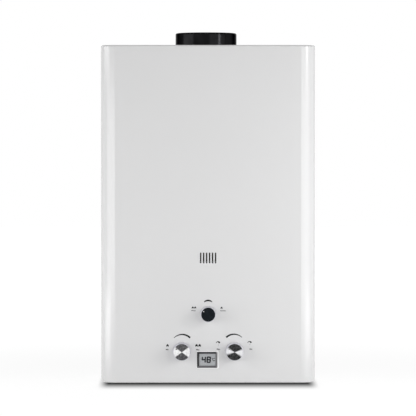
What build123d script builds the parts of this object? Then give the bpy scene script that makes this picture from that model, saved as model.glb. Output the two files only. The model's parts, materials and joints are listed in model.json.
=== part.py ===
from build123d import *

import math
import os

# Portable propane water heater: a flued, battery-fired tankless heater in a
# white sheet-steel case.  Millimetres, +Z up, the front faces -Y and the origin
# is the middle of the footprint, on the surface that the case stands on.

# ------------------------------------------------------------------ casing
CASE_WIDTH = 375.0
CASE_HEIGHT = 590.0
CASE_DEPTH = 176.0
CORNER_RADIUS = 25.0      # upright front edges of the drawn cover
SHEET = 1.0               # casing sheet steel
LIP_BEND = 3.0            # outside radius where the cover turns inwards
TOP_LIP = 14.0            # width of the cover's inward lip at the top
BOTTOM_LIP = 10.0         # and at the bottom
SKIRT_HEIGHT = 20.0       # recess for the pipe ends under the bottom plate
BACK_FLANGE = 12.0        # forward flange along each side of the back plate
COVER_SCREW_HEAD = 3.5    # radius of the flush cover screws
COVER_SCREW_SHANK = 1.75
COVER_SCREW_LENGTH = 9.0
COVER_SCREW_INSET = 7.0   # screw axis to the back of the case
COVER_SCREW_FROM_END = 60.0
KEYHOLE_SPACING = 200.0
KEYHOLE_DROP = 50.0       # round entry below the top of the case
KEYHOLE_RADIUS = 6.0      # round entry of a wall keyhole
KEYHOLE_NECK = 3.5        # half width of its upright slot
KEYHOLE_LENGTH = 12.0
LOWER_HOLE_SPACING = 120.0
LOWER_HOLE_RADIUS = 3.5
LOWER_HOLE_Z = 10.5
BEAD_RADIUS = 5.0         # half-round stiffening beads pressed up the back plate
BEAD_SPACING = 260.0
BEAD_FROM_END = 80.0      # ends of a bead to the ends of the case
INTAKE_SLOTS = 15         # air slots in the bottom plate
INTAKE_PITCH = 12.0
INTAKE_WIDTH = 4.0
INTAKE_LENGTH = 60.0
INTAKE_X = -12.0          # middle of the row
INTAKE_FROM_BACK = 55.0

# ------------------------------------------------------- openings in the front
SLOT_COUNT = 6            # flame-view slots
SLOT_PITCH = 5.2
SLOT_WIDTH = 2.1
SLOT_HEIGHT = 18.5
SLOT_Z = 218.4
SHAFT_HOLE_RADIUS = 7.0

# ------------------------------------------------------------------- knobs
KNOB_SPREAD = 46.0        # the gas and water knobs, left and right of the middle
KNOB_Z = 55.2
SEASON_Z = 120.6
KNOB_REACH = 24.0         # how far the knobs stand out of the front
KNOB_GAP = 0.6            # between a knob and the front
KNOB_FACE_RADIUS = 14.65
KNOB_BASE_RADIUS = 15.7
SEASON_FACE_RADIUS = 12.6
SEASON_BASE_RADIUS = 13.4
KNOB_WALL = 1.8
KNOB_FRONT_WALL = 2.6
KNOB_HUB_RADIUS = 6.6
KNOB_HUB_RECESS = 3.0     # the hub stops short of the knob's open back
KNOB_EDGE = 0.3           # rounding of the front edge
KNOB_DISC = 0.8           # thickness of the disc let into the knob's face
KNOB_RIM = 0.35           # knob metal left round the disc
SHAFT_RADIUS = 4.0
SHAFT_FLAT = 2.8          # flat of the D-shaped end, from the axis
SHAFT_IN_HUB = 12.0       # length of shaft inside the hub
SHAFT_FIT = 0.05          # running and seating clearance on the radius

# ------------------------------------------------------------- display window
DISPLAY_X = -1.1          # middle of the window beside the middle of the case
DISPLAY_Z = 40.1
BEZEL_WIDTH = 36.5
BEZEL_HEIGHT = 27.7
BEZEL_CORNER = 1.2
BEZEL_FIT = 0.15
BEZEL_RECESS = 0.4        # bezel front below the panel's outer face
BEZEL_FLANGE = 2.4        # ledge that holds the bezel behind the panel
BEZEL_FLANGE_THICKNESS = 1.5
GLASS_WIDTH = 29.0        # clear view through the bezel
GLASS_HEIGHT = 21.0
GLASS_EDGE = 1.0          # glass hidden under the bezel on each side
GLASS_THICKNESS = 1.2
GLASS_DEPTH = 3.0         # glass front below the panel's outer face
BEZEL_FLARE = 0.9         # the opening widens towards the front
PANEL_THICKNESS = 2.0
BOARD_THICKNESS = 1.6
BOARD_EDGE = 3.5
DISPLAY_WALL = 1.5
DISPLAY_DEPTH = 16.0

# ------------------------------------------------------------- flue and hood
FLUE_DIAMETER = 108.5
FLUE_X = -3.0             # flue's axis beside the middle of the case
FLUE_RISE = 23.6          # collar above the case
FLUE_LIP = 3.0            # outside radius where the collar's top turns inwards
FLUE_WALL = 1.0
FLUE_FLANGE = 8.0
FLUE_HOLE_GAP = 1.5       # top plate to collar
FLUE_BEAD = 1.0           # stop bead for the duct, level with the top of the case
FLUE_BEAD_HEIGHT = 4.0
HOOD_GAP = 15.0           # hood top below the top of the case
HOOD_SHELF = 5.0          # hood top beyond the collar's flange
HOOD_CORNER = 8.0
RELIEF_SLOTS = 5          # draught relief slots in the hood's front
RELIEF_WIDTH = 8.0
RELIEF_PITCH = 18.0
RELIEF_HEIGHT = 26.0

# ------------------------------------------------------- fire box and exchanger
CHAMBER_WIDTH = 216.0
CHAMBER_HEIGHT = 195.0
CHAMBER_WALL = 1.0
CHAMBER_CORNER = 8.0
FRONT_ROOM = 45.0         # cover to chamber
BEHIND_COIL = 8.7
VIEW_MARGIN = 3.0         # burner tops below the slots
VIEW_WIDTH = 44.0
PIPE_RADIUS = 6.0
PIPE_WALL = 1.0
PIPE_BEND = 14.0
COIL_GAP = 0.3
COIL_RISE = 95.0          # coil above the burner tops
FIN_HEIGHT = 48.0
FIN_PITCH = 8.0
FIN_GAP = 7.0
FIN_END = 2.0
FIN_EDGE = 1.5
FIN_COLLAR = 1.0          # collars of the fins round the tubes
TUBE_COUNT = 3
TUBE_RADIUS = 8.0
TUBE_WALL = 1.0
TUBE_STUB = 6.0
TUBE_FIT = 0.05
BRACKET_HEIGHT = 24.0
BRACKET_LENGTH = 180.0
BRACKET_SHEET = 1.2
EXCHANGER_BRACKET_RISE = 165.0
BURNER_BRACKET_RISE = 20.0
THERMOSTAT_RADIUS = 8.0
THERMOSTAT_CAP_RADIUS = 6.4
THERMOSTAT_THICKNESS = 8.0
THERMOSTAT_RISE = 145.0

# ------------------------------------------------------------------ burner
BURNER_COUNT = 10
BURNER_PITCH = 20.0
BURNER_THICKNESS = 6.0
VENTURI_RADIUS = 6.5
VENTURI_MOUTH = 8.0
VENTURI_BORE = 5.5
VENTURI_LENGTH = 60.0
VENTURI_FLARE = 6.0       # how far a mouth stands out of the burner frame
VENTURI_RISE = 14.0       # its axis above the bottom of the frame
MOUTH_GAP = 0.4
FLAME_CHAMBER = 22.0      # height of a burner's upper chamber
FLAME_PORTS = 8
PORT_WIDTH = 2.0
PORT_DEPTH = 3.0

# ------------------------------------------------------------------ gas line
VALVE_SETBACK = 64.0      # valve axis behind the front
GAS_FACE_X = -14.0        # right end of the gas valve
GAS_BODY_RADIUS = 18.0
GAS_BODY_LENGTH = 84.0
GAS_GUIDE = 6.0           # wall that guides the push rod
GAS_OUT_CHAMBER = 14.0
GAS_OUT_RADIUS = 10.0
GAS_IN_RADIUS = 12.0
GAS_SEAT = 2.0
GAS_SEAT_RADIUS = 6.0
GAS_INLET_FROM_END = 22.0
GAS_CAP = 4.0
GAS_SPRING_POST = 32.0
GAS_SPRING_POST_RADIUS = 4.0
BOSS_RADIUS = 11.0        # front bosses that hold the spindles
BOSS_BORE = 8.0
BOSS_ROOM = 13.0          # boss end to the cover
BONNET = 4.0              # thickness of the plates that close the bosses
BONNET_RADIUS = 11.0
PLUG_FIT = 0.06
PLUG_LENGTH = 30.0
TOP_BOSS_RADIUS = 9.0
TOP_BOSS_RISE = 28.0
FOOT_RADIUS = 12.0
FOOT_DROP = 22.0          # lower end of a valve's foot below its axis
POPPET_RADIUS = 9.5
POPPET_THICKNESS = 3.0
LINK_CLEARANCE = 0.3
ROD_RADIUS = 2.0
SPRING_RADIUS = 6.2
SPRING_WIRE = 0.7
SPRING_TURNS = 4
FEED_BEND = 16.0
SEASON_BLOCK_WIDTH = 72.0
SEASON_BLOCK_HEIGHT = 26.0
SEASON_BLOCK_DEPTH = 28.0
SEASON_BORE = 9.0
SEASON_BORE_DEPTH = 24.0
SEASON_FRONT_ROOM = 5.0   # block to cover
SEASON_OUTLET_SPREAD = 12.0
SEASON_GALLERY_STEP = 1.0  # cross drilling wider than the pipe's bore, on the radius
SEASON_BONNET = 2.5
MANIFOLD_LEG = 12.0
MANIFOLD_LEG_RADIUS = 7.0
MANIFOLD_SIZE = 14.0
MANIFOLD_END = 12.0
NOZZLE_RADIUS = 4.0
NOZZLE_TIP_RADIUS = 2.0
NOZZLE_LENGTH = 9.0
NOZZLE_TIP = 3.0

# -------------------------------------------------------------- water valve
LINK_GAP = 16.0           # gas valve to water valve
WATER_FLANGE_RADIUS = 26.0
WATER_FLANGE = 4.5
COVER_FLANGE = 5.0
DIAPHRAGM = 1.5
DOME_RADIUS = 18.0
DOME_CAVITY_RADIUS = 16.0
DOME_WALL = 3.0
DOME_DEPTH = 11.0         # cavity that the pressure plate moves in
PLATE_RADIUS = 14.0
PLATE_THICKNESS = 2.5
WATER_BODY_RADIUS = 18.0
WATER_BODY_LENGTH = 68.0
WATER_BORE = 14.0
WATER_END_WALL = 6.0
WATER_INLET_X = 72.0
DRAIN_X = 40.0
DRAIN_BOSS_RADIUS = 8.0
DRAIN_STEM_RADIUS = 5.0
DRAIN_STEM_IN = 8.0
DRAIN_HEAD_RADIUS = 9.0
DRAIN_HEAD_HEIGHT = 6.0
DRAIN_GRIP_WIDTH = 4.0
DRAIN_GRIP_HEIGHT = 7.0
CLAMP_SCREWS = 4
CLAMP_CIRCLE = 22.0
CLAMP_HEAD = 3.2
CLAMP_HEAD_HEIGHT = 2.5
CLAMP_SHANK = 1.8
CLAMP_FIT = 0.1
CAM_RADIUS = 5.0
CAM_THICKNESS = 3.0
CAM_FROM_WATER = 5.0      # cam's near side to the water valve
COLD_RUN_RISE = 58.0      # level run of the cold pipe above the valve axis
COLD_RISER_OUT = 20.0     # cold riser beside the chamber
COLD_RISER_BACK = 22.0    # and behind the valve axis
UNION_Z = 250.0
UNION_RADIUS = 10.5
UNION_HEIGHT = 14.0
HOT_OUT = 32.0            # hot pipe beside the chamber
SENSOR_RADIUS = 9.0
SENSOR_HEIGHT = 12.0
SENSOR_Z = 170.0
SENSOR_POD = 10.0

# ------------------------------------------------------------- pipe fittings
SPIGOT_RADIUS = 10.3      # half-inch pipe thread, as a plain pin
SPIGOT_END_Z = 4.0
SHANK_RADIUS = 12.0       # thicker threaded shank through the bottom plate
FITTING_BORE = 6.5
FITTING_COLLAR_RADIUS = 14.0
FITTING_COLLAR = 3.0
FITTING_SOCKET_RADIUS = 9.0
LOCK_NUT = 3.5
LOCK_NUT_RADIUS = 16.5
THREAD_FIT = 0.05
HOLE_FIT = 0.4
HOT_SOCKET_Z = 44.0

# ------------------------------------------------------------- microswitch
SWITCH_WIDTH = 10.0       # across the link, along Y
SWITCH_LENGTH = 12.0
SWITCH_HEIGHT = 20.0
PIVOT_RISE = 16.0         # lever pivot above the link
LEVER_THICKNESS = 0.7
LEVER_WIDTH = 4.0
LEVER_DROP = 13.5
LEVER_BARREL = 1.3
LEVER_PIN = 0.6
EAR_THICKNESS = 1.5
EAR_GAP = 0.3
BRACKET_LEG = 1.0

# ---------------------------------------------------------------- ignition
IGNITER_WIDTH = 50.0
IGNITER_DEPTH = 30.0
IGNITER_HEIGHT = 74.0
IGNITER_SIDE_ROOM = 7.0
IGNITER_FRONT_ROOM = 9.0
IGNITER_EDGE = 3.0
TOWER_RADIUS = 5.0
TOWER_HEIGHT = 8.0
LEAD_RADIUS = 2.5
LEAD_BEND = 25.0
LEAD_EXIT_BEND = 5.0
ELECTRODE_SPREAD = 36.0
ELECTRODE_RISE = 12.0
CERAMIC_RADIUS = 3.5
CERAMIC_LENGTH = 30.0
CERAMIC_INSIDE = 8.0
WIRE_RADIUS = 1.0
WIRE_INSIDE = 14.0
ELECTRODE_HOLE_GAP = 0.1
ELECTRODE_PLATE = 18.0
ELECTRODE_PLATE_THICKNESS = 1.5

# ----------------------------------------------------------------- battery
CELL_RADIUS = 17.1
CELL_HEIGHT = 61.5
CELL_GAP = 0.4
CELL_NUB_RADIUS = 4.5
CELL_NUB = 1.5
BOX_WALL = 1.5
BOX_SIDE_ROOM = 14.0
BOX_SETBACK = 67.0        # box axis in front of the case's back
BOX_FLANGE = 3.0
CONTACT_HEIGHT = 5.0
CONTACT_RADIUS = 7.0
DOOR_THICKNESS = 3.0
DOOR_GAP = 0.3
DOOR_OVERLAP = 3.0
DOOR_STRIP = 1.0          # spring strip on the door that joins the cells
HINGE_PIN = 1.0
HINGE_FIT = 0.05
HINGE_OUT = 5.5           # hinge axis behind the box opening
KNUCKLE_LENGTH = 50.0
LUG_WIDTH = 3.0

# ------------------------------------------------------------ derived places
OVERALL_DEPTH = CASE_DEPTH + KNOB_REACH
BACK_Y = OVERALL_DEPTH / 2
FRONT_Y = BACK_Y - CASE_DEPTH
INSIDE_FRONT = FRONT_Y + SHEET
INSIDE_BACK = BACK_Y - SHEET
INSIDE_X = CASE_WIDTH / 2 - SHEET
FLOOR_Z = SKIRT_HEIGHT + SHEET
TOP_PLATE_TOP = CASE_HEIGHT - SHEET
COVER_SCREW_HEIGHTS = (COVER_SCREW_FROM_END, CASE_HEIGHT - COVER_SCREW_FROM_END)
KEYHOLE_Z = CASE_HEIGHT - KEYHOLE_DROP

BACK_ROOM = 2 * PIPE_RADIUS + COIL_GAP + BEHIND_COIL
CHAMBER_REAR = INSIDE_BACK - BACK_ROOM
CHAMBER_FRONT = INSIDE_FRONT + FRONT_ROOM
CHAMBER_DEPTH = CHAMBER_REAR - CHAMBER_FRONT
CHAMBER_Y = (CHAMBER_REAR + CHAMBER_FRONT) / 2
CHAMBER_X = CHAMBER_WIDTH / 2
FLUE_RADIUS = FLUE_DIAMETER / 2

LINK_Y = FRONT_Y + VALVE_SETBACK
SEASON_TOP = SEASON_Z + SEASON_BLOCK_HEIGHT / 2
SEASON_FRONT = INSIDE_FRONT + SEASON_FRONT_ROOM
SEASON_Y = SEASON_FRONT + SEASON_BLOCK_DEPTH / 2
SEASON_REAR = SEASON_FRONT + SEASON_BLOCK_DEPTH
MANIFOLD_Z = SEASON_TOP + MANIFOLD_LEG + MANIFOLD_SIZE / 2
BURNER_BASE = MANIFOLD_Z - VENTURI_RISE
BURNER_TOP = SLOT_Z - SLOT_HEIGHT / 2 - VIEW_MARGIN
CHAMBER_TOP = BURNER_TOP + CHAMBER_HEIGHT
FIN_TOP = CHAMBER_TOP + FIN_HEIGHT
HOOD_TOP = CASE_HEIGHT - HOOD_GAP
TUBE_PITCH = CHAMBER_DEPTH / TUBE_COUNT
TUBE_Z = CHAMBER_TOP + FIN_HEIGHT / 2
TUBE_END = CHAMBER_X + TUBE_STUB
REAR_TUBE_Y = CHAMBER_Y + TUBE_PITCH * (TUBE_COUNT - 1) / 2
FRONT_TUBE_Y = CHAMBER_Y - TUBE_PITCH * (TUBE_COUNT - 1) / 2
COIL_OFFSET = PIPE_RADIUS + COIL_GAP
COIL_Z = BURNER_TOP + COIL_RISE

GAS_LEFT = GAS_FACE_X - GAS_BODY_LENGTH
GAS_CHAMBER_RIGHT = GAS_FACE_X - GAS_GUIDE
SEAT_RIGHT = GAS_CHAMBER_RIGHT - GAS_OUT_CHAMBER
SEAT_LEFT = SEAT_RIGHT - GAS_SEAT
GAS_OUTLET_X = (GAS_CHAMBER_RIGHT + SEAT_RIGHT) / 2
GAS_INLET_X = GAS_LEFT + GAS_INLET_FROM_END
POPPET_RIGHT = SEAT_LEFT - LINK_CLEARANCE
POPPET_LEFT = POPPET_RIGHT - POPPET_THICKNESS
SPRING_POST_END = GAS_LEFT + GAS_SPRING_POST

WATER_FACE_X = GAS_FACE_X + LINK_GAP
CAVITY_LEFT = WATER_FACE_X + DOME_WALL
DIAPHRAGM_LEFT = CAVITY_LEFT + DOME_DEPTH
DIAPHRAGM_RIGHT = DIAPHRAGM_LEFT + DIAPHRAGM
WATER_FLANGE_RIGHT = DIAPHRAGM_RIGHT + WATER_FLANGE
WATER_RIGHT = WATER_FLANGE_RIGHT + WATER_BODY_LENGTH
COVER_FLANGE_LEFT = DIAPHRAGM_LEFT - COVER_FLANGE
CAM_RIGHT = WATER_FACE_X - CAM_FROM_WATER + CAM_THICKNESS
CAM_LEFT = CAM_RIGHT - CAM_THICKNESS

BOSS_END_Y = INSIDE_FRONT + BOSS_ROOM
VALVE_FOOT_Z = KNOB_Z - FOOT_DROP
VALVE_TOP_Z = KNOB_Z + TOP_BOSS_RISE
HOT_X = -(CHAMBER_X + HOT_OUT)
HOT_Y = FRONT_TUBE_Y
COLD_RISER_X = CHAMBER_X + COLD_RISER_OUT
COLD_RISER_Y = LINK_Y + COLD_RISER_BACK
COLD_RUN_Z = KNOB_Z + COLD_RUN_RISE

PIVOT_X = CAM_LEFT - LINK_CLEARANCE - LEVER_THICKNESS / 2
PIVOT_Z = KNOB_Z + PIVOT_RISE
SWITCH_BASE = PIVOT_Z + LEVER_BARREL + EAR_GAP
SWITCH_RIGHT = PIVOT_X + SWITCH_LENGTH / 3

BOX_INSIDE_X = 4 * CELL_RADIUS + 3 * CELL_GAP
BOX_INSIDE_Y = 2 * CELL_RADIUS + 2 * CELL_GAP
BOX_X = INSIDE_X - BOX_SIDE_ROOM - BOX_WALL - BOX_INSIDE_X / 2
BOX_Y = INSIDE_BACK - BOX_SETBACK
DOOR_TOP = SKIRT_HEIGHT - DOOR_GAP
DOOR_BASE = DOOR_TOP - DOOR_THICKNESS
CELL_BASE = SKIRT_HEIGHT + DOOR_STRIP + LINK_CLEARANCE
CELL_TOP = CELL_BASE + CELL_HEIGHT
BOX_TOP = CELL_TOP + CELL_NUB + CONTACT_HEIGHT + BOX_WALL
HINGE_Y = BOX_Y + BOX_INSIDE_Y / 2 + HINGE_OUT
HINGE_Z = DOOR_BASE + DOOR_THICKNESS / 2


# ------------------------------------------------------------------- helpers
def block(x, y, z):
    """Box between a low and a high value on each axis."""
    size = (x[1] - x[0], y[1] - y[0], z[1] - z[0])
    return Pos(sum(x) / 2, sum(y) / 2, sum(z) / 2) * Box(*size)


def rod(radius, start, end):
    """Round bar between two points."""
    line = Vector(*end) - Vector(*start)
    return extrude(Plane(origin=start, z_dir=line) * Circle(radius), line.length)


def upright(radius, x, low, high, y=LINK_Y):
    """Round bar on a vertical axis, on the valves' line unless told otherwise."""
    return rod(radius, (x, y, low), (x, y, high))


def hexagon(radius, bore, start, end):
    """Six-sided nut with a bore, between two points."""
    line = Vector(*end) - Vector(*start)
    section = RegularPolygon(radius, 6) - Circle(bore)
    return extrude(Plane(origin=start, z_dir=line) * section, line.length)


def bent_pipe(points, outer, inner, bends):
    """Pipe along straight runs that are joined by tangent bends."""
    path = FilletPolyline(*points, radius=bends)
    section = Plane(origin=path @ 0, z_dir=path % 0) * Circle(outer)
    if inner:
        section -= Plane(origin=path @ 0, z_dir=path % 0) * Circle(inner)
    return sweep(section, path=path)


def front_plane(x, z, setback=0.0):
    """Plane on the front, facing the user, at a point behind its outer face."""
    return Plane(origin=(x, FRONT_Y + setback, z), x_dir=(1, 0, 0), z_dir=(0, -1, 0))


def front_plate(sketch, x, z, near, far):
    """Solid of a sketch that faces the user, between two depths behind the front."""
    return extrude(front_plane(x, z, near) * sketch, near - far)


def panel(width, height, corner=0.0):
    """Rectangle, with rounded corners if a corner radius is given."""
    return RectangleRounded(width, height, corner) if corner else Rectangle(width, height)


def along_link(profile):
    """Turn a profile of (distance along X, radius) points about the link axis."""
    points = [(x, LINK_Y, KNOB_Z + radius) for x, radius in profile]
    axis = Axis((0, LINK_Y, KNOB_Z), (1, 0, 0))
    return revolve(make_face(Polyline(*points, close=True)), axis)


def save(name, *solids):
    """Write one node: a single solid, or a group of separate ones."""
    shape = solids[0] if len(solids) == 1 else Compound(list(solids))
    export_step(shape, f"parts/{name}.step")


# -------------------------------------------------------------------- casing
def cover_plan(inset, back):
    """Casing outline from above, moved in at the front and the sides."""
    front = FRONT_Y + inset
    blank = Pos(0, (front + back) / 2) * Rectangle(CASE_WIDTH - 2 * inset, back - front)
    corners = blank.vertices().group_by(Axis.Y)[0]
    return fillet(corners, max(CORNER_RADIUS - inset, SHEET))


def cover_block(inset, low, high, bend):
    """Solid of the cover's outline, with its front and side edges rounded."""
    solid = extrude(Pos(0, 0, low) * cover_plan(inset, BACK_Y), high - low)
    edges = ShapeList()
    for face in (solid.faces().sort_by(Axis.Z)[0], solid.faces().sort_by(Axis.Z)[-1]):
        edges += face.edges().filter_by(lambda edge: edge.center().Y < BACK_Y - SHEET)
    return fillet(edges, bend)


def lip_opening(lip, low, high):
    """What the inward lip at one end of the cover leaves open."""
    return extrude(Pos(0, 0, low) * cover_plan(lip, BACK_Y + SHEET), high - low)


def front_cover():
    """Drawn cover: front, two sides and a lip round the top and the bottom."""
    inner_bend = LIP_BEND - SHEET
    shell = cover_block(0, 0, CASE_HEIGHT, LIP_BEND)
    shell -= cover_block(SHEET, SHEET, CASE_HEIGHT - SHEET, inner_bend)
    shell -= lip_opening(BOTTOM_LIP, -SHEET, 2 * SHEET)
    shell -= lip_opening(TOP_LIP, CASE_HEIGHT - 2 * SHEET, CASE_HEIGHT + SHEET)
    first = -SLOT_PITCH * (SLOT_COUNT - 1) / 2
    slot = Rotation(0, 0, 90) * SlotOverall(SLOT_HEIGHT, SLOT_WIDTH)
    for index in range(SLOT_COUNT):
        shell -= front_plate(slot, first + index * SLOT_PITCH, SLOT_Z, -SHEET, 2 * SHEET)
    for x, z in ((-KNOB_SPREAD, KNOB_Z), (KNOB_SPREAD, KNOB_Z), (0, SEASON_Z)):
        shell -= front_plate(Circle(SHAFT_HOLE_RADIUS), x, z, -SHEET, 2 * SHEET)
    opening = panel(BEZEL_WIDTH + 2 * BEZEL_FIT, BEZEL_HEIGHT + 2 * BEZEL_FIT, BEZEL_CORNER)
    shell -= front_plate(opening, DISPLAY_X, DISPLAY_Z, -SHEET, 2 * SHEET)
    for side in (-1, 1):
        for z in COVER_SCREW_HEIGHTS:
            shell -= cover_screw_bar(side, z, COVER_SCREW_HEAD + SHAFT_FIT, 0, 2 * SHEET)
    return shell


def cover_screw_bar(side, z, radius, start, end):
    """Round bar on a cover screw's axis, between two depths from the side."""
    y = BACK_Y - COVER_SCREW_INSET
    outer = CASE_WIDTH / 2
    return rod(radius, (side * (outer - start), y, z), (side * (outer - end), y, z))


def cover_screws():
    """Flush screws through the cover's sides into the back plate's flanges."""
    screws = []
    for side in (-1, 1):
        for z in COVER_SCREW_HEIGHTS:
            head = cover_screw_bar(side, z, COVER_SCREW_HEAD, 0, SHEET)
            shank = cover_screw_bar(side, z, COVER_SCREW_SHANK, SHEET, COVER_SCREW_LENGTH)
            screws.append(head + shank)
    return screws


def keyhole():
    """Wall keyhole: a round entry with an upright slot above it."""
    neck = Pos(0, KEYHOLE_LENGTH / 2) * Rectangle(2 * KEYHOLE_NECK, KEYHOLE_LENGTH)
    end = Pos(0, KEYHOLE_LENGTH) * Circle(KEYHOLE_NECK)
    return Circle(KEYHOLE_RADIUS) + neck + end


def back_bead(x, radius):
    """Form of a stiffening bead: a round bar with round ends in the back's outer face."""
    low, high = (x, BACK_Y, BEAD_FROM_END), (x, BACK_Y, CASE_HEIGHT - BEAD_FROM_END)
    return rod(radius, low, high) + Pos(*low) * Sphere(radius) + Pos(*high) * Sphere(radius)


def back_plate():
    """Back sheet with side flanges, pressed beads, wall keyholes and lower holes."""
    high = TOP_PLATE_TOP - LIP_BEND
    plate = block((-INSIDE_X, INSIDE_X), (INSIDE_BACK, BACK_Y), (LIP_BEND, high))
    for side in (-1, 1):
        edge = sorted((side * INSIDE_X, side * (INSIDE_X - SHEET)))
        plate += block(edge, (INSIDE_BACK - BACK_FLANGE, INSIDE_BACK), (FLOOR_Z, high))
        plate += back_bead(side * BEAD_SPACING / 2, BEAD_RADIUS)
        plate -= back_bead(side * BEAD_SPACING / 2, BEAD_RADIUS - SHEET)
    plate -= block((-INSIDE_X, INSIDE_X), (BACK_Y, BACK_Y + BEAD_RADIUS), (LIP_BEND, high))
    depth = INSIDE_BACK - FRONT_Y
    for side in (-1, 1):
        entry = (side * KEYHOLE_SPACING / 2, KEYHOLE_Z)
        plate -= front_plate(keyhole(), *entry, depth - SHEET, depth + 2 * SHEET)
        lower = (side * LOWER_HOLE_SPACING / 2, LOWER_HOLE_Z)
        plate -= front_plate(Circle(LOWER_HOLE_RADIUS), *lower, depth - SHEET, depth + 2 * SHEET)
        for z in COVER_SCREW_HEIGHTS:
            plate -= cover_screw_bar(side, z, COVER_SCREW_SHANK + SHAFT_FIT, 0, 3 * SHEET)
    return plate


def top_plate():
    """Sheet under the cover's top lip, with the hole for the flue collar."""
    plan = cover_plan(SHEET + LIP_BEND, INSIDE_BACK)
    plate = extrude(Pos(0, 0, TOP_PLATE_TOP - SHEET) * plan, SHEET)
    plate += block((-INSIDE_X + LIP_BEND, INSIDE_X - LIP_BEND), (INSIDE_BACK - SHEET, INSIDE_BACK),
                   (TOP_PLATE_TOP - BACK_FLANGE, TOP_PLATE_TOP))
    hole = FLUE_RADIUS + FLUE_HOLE_GAP
    return plate - flue_bar(hole, HOOD_TOP, CASE_HEIGHT)


def bottom_plate():
    """Sheet above the skirt, with holes for pipes, drain and cells, and air slots."""
    plate = extrude(Pos(0, 0, SKIRT_HEIGHT) * cover_plan(SHEET, INSIDE_BACK), SHEET)
    for x, y in ((GAS_INLET_X, LINK_Y), (WATER_INLET_X, LINK_Y), (HOT_X, HOT_Y)):
        plate -= upright(SHANK_RADIUS + HOLE_FIT, x, 0, FLOOR_Z + SHEET, y)
    plate -= upright(DRAIN_STEM_RADIUS + HOLE_FIT, DRAIN_X, 0, FLOOR_Z + SHEET)
    half_x, half_y = BOX_INSIDE_X / 2, BOX_INSIDE_Y / 2
    plate -= block((BOX_X - half_x, BOX_X + half_x), (BOX_Y - half_y, BOX_Y + half_y),
                   (0, FLOOR_Z + SHEET))
    first = INTAKE_X - INTAKE_PITCH * (INTAKE_SLOTS - 1) / 2
    slot = Rotation(0, 0, 90) * SlotOverall(INTAKE_LENGTH, INTAKE_WIDTH)
    for index in range(INTAKE_SLOTS):
        place = Pos(first + index * INTAKE_PITCH, INSIDE_BACK - INTAKE_FROM_BACK, 0)
        plate -= extrude(place * slot, FLOOR_Z + SHEET)
    for side in (-1, 1):
        near = KNUCKLE_LENGTH / 2 + DOOR_GAP
        lug = sorted((BOX_X + side * near, BOX_X + side * (near + LUG_WIDTH)))
        half = DOOR_THICKNESS / 2
        plate += block(lug, (HINGE_Y - half, HINGE_Y + half), (DOOR_BASE, SKIRT_HEIGHT))
    return plate - hinge_bar(HINGE_PIN + HINGE_FIT, KNUCKLE_LENGTH + 4 * LUG_WIDTH)


# ------------------------------------------------------------ flue and exchanger
def fire_plan(inset):
    """Outline of the fire box from above, moved in by inset."""
    width, depth = CHAMBER_WIDTH - 2 * inset, CHAMBER_DEPTH - 2 * inset
    return Pos(0, CHAMBER_Y) * panel(width, depth, max(CHAMBER_CORNER - inset, CHAMBER_WALL))


def flue_bar(radius, low, high):
    """Round bar on the flue's axis, between two levels."""
    return rod(radius, (FLUE_X, CHAMBER_Y, low), (FLUE_X, CHAMBER_Y, high))


def collar_form(radius, low, high, bend):
    """Round bar on the flue's axis with its top edge rounded."""
    form = flue_bar(radius, low, high)
    return fillet(form.edges().group_by(Axis.Z)[-1], bend)


def flue_collar():
    """Spigot for the flue duct: turned-in top, stop bead, flange that sits on the hood."""
    top = CASE_HEIGHT + FLUE_RISE
    inside = FLUE_RADIUS - FLUE_WALL
    collar = collar_form(FLUE_RADIUS, HOOD_TOP, top, FLUE_LIP)
    collar += flue_bar(FLUE_RADIUS + FLUE_BEAD, CASE_HEIGHT - FLUE_BEAD_HEIGHT, CASE_HEIGHT)
    collar += flue_bar(FLUE_RADIUS + FLUE_FLANGE, HOOD_TOP, HOOD_TOP + FLUE_WALL)
    collar -= collar_form(inside, HOOD_TOP, top - FLUE_WALL, FLUE_LIP - FLUE_WALL)
    return collar - flue_bar(FLUE_RADIUS - FLUE_LIP, HOOD_TOP, top)


def hood_form(inset, low, high):
    """Hood shape between two levels, narrowing in width and growing in depth."""
    size = 2 * (FLUE_RADIUS + FLUE_FLANGE + HOOD_SHELF - inset)
    corner = HOOD_CORNER - inset
    top = Pos(FLUE_X, CHAMBER_Y, high) * RectangleRounded(size, size, corner)
    width, depth = CHAMBER_WIDTH - 2 * inset, CHAMBER_DEPTH - 2 * inset
    bottom = Pos(0, CHAMBER_Y, low) * RectangleRounded(width, depth, corner)
    return loft([bottom, top])


def draft_hood():
    """Sheet hood from the exchanger up to the collar, with relief slots."""
    hood = hood_form(0, FIN_TOP, HOOD_TOP)
    hood -= hood_form(CHAMBER_WALL, FIN_TOP, HOOD_TOP - CHAMBER_WALL)
    inside = FLUE_RADIUS - FLUE_WALL
    hood -= flue_bar(inside, FIN_TOP, CASE_HEIGHT)
    middle = (FIN_TOP + HOOD_TOP) / 2
    first = -RELIEF_PITCH * (RELIEF_SLOTS - 1) / 2
    for index in range(RELIEF_SLOTS):
        x = first + index * RELIEF_PITCH
        slot = Rotation(0, 0, 90) * SlotOverall(RELIEF_HEIGHT, RELIEF_WIDTH)
        hood -= front_plate(slot, x, middle, 0, CHAMBER_Y - FRONT_Y)
    return hood


def exchanger_shell():
    """Copper chamber above the burner, with the view window and electrode holes."""
    shell = extrude(Pos(0, 0, BURNER_TOP) * (fire_plan(0) - fire_plan(CHAMBER_WALL)), CHAMBER_HEIGHT)
    front = (CHAMBER_FRONT - CHAMBER_WALL, CHAMBER_FRONT + 2 * CHAMBER_WALL)
    shell -= block((-VIEW_WIDTH / 2, VIEW_WIDTH / 2), front,
                   (BURNER_TOP + VIEW_MARGIN, BURNER_TOP + VIEW_MARGIN + SLOT_HEIGHT))
    for x in (-ELECTRODE_SPREAD, ELECTRODE_SPREAD):
        shell -= electrode_bar(x, CERAMIC_RADIUS + ELECTRODE_HOLE_GAP, *front)
    return shell


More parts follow.
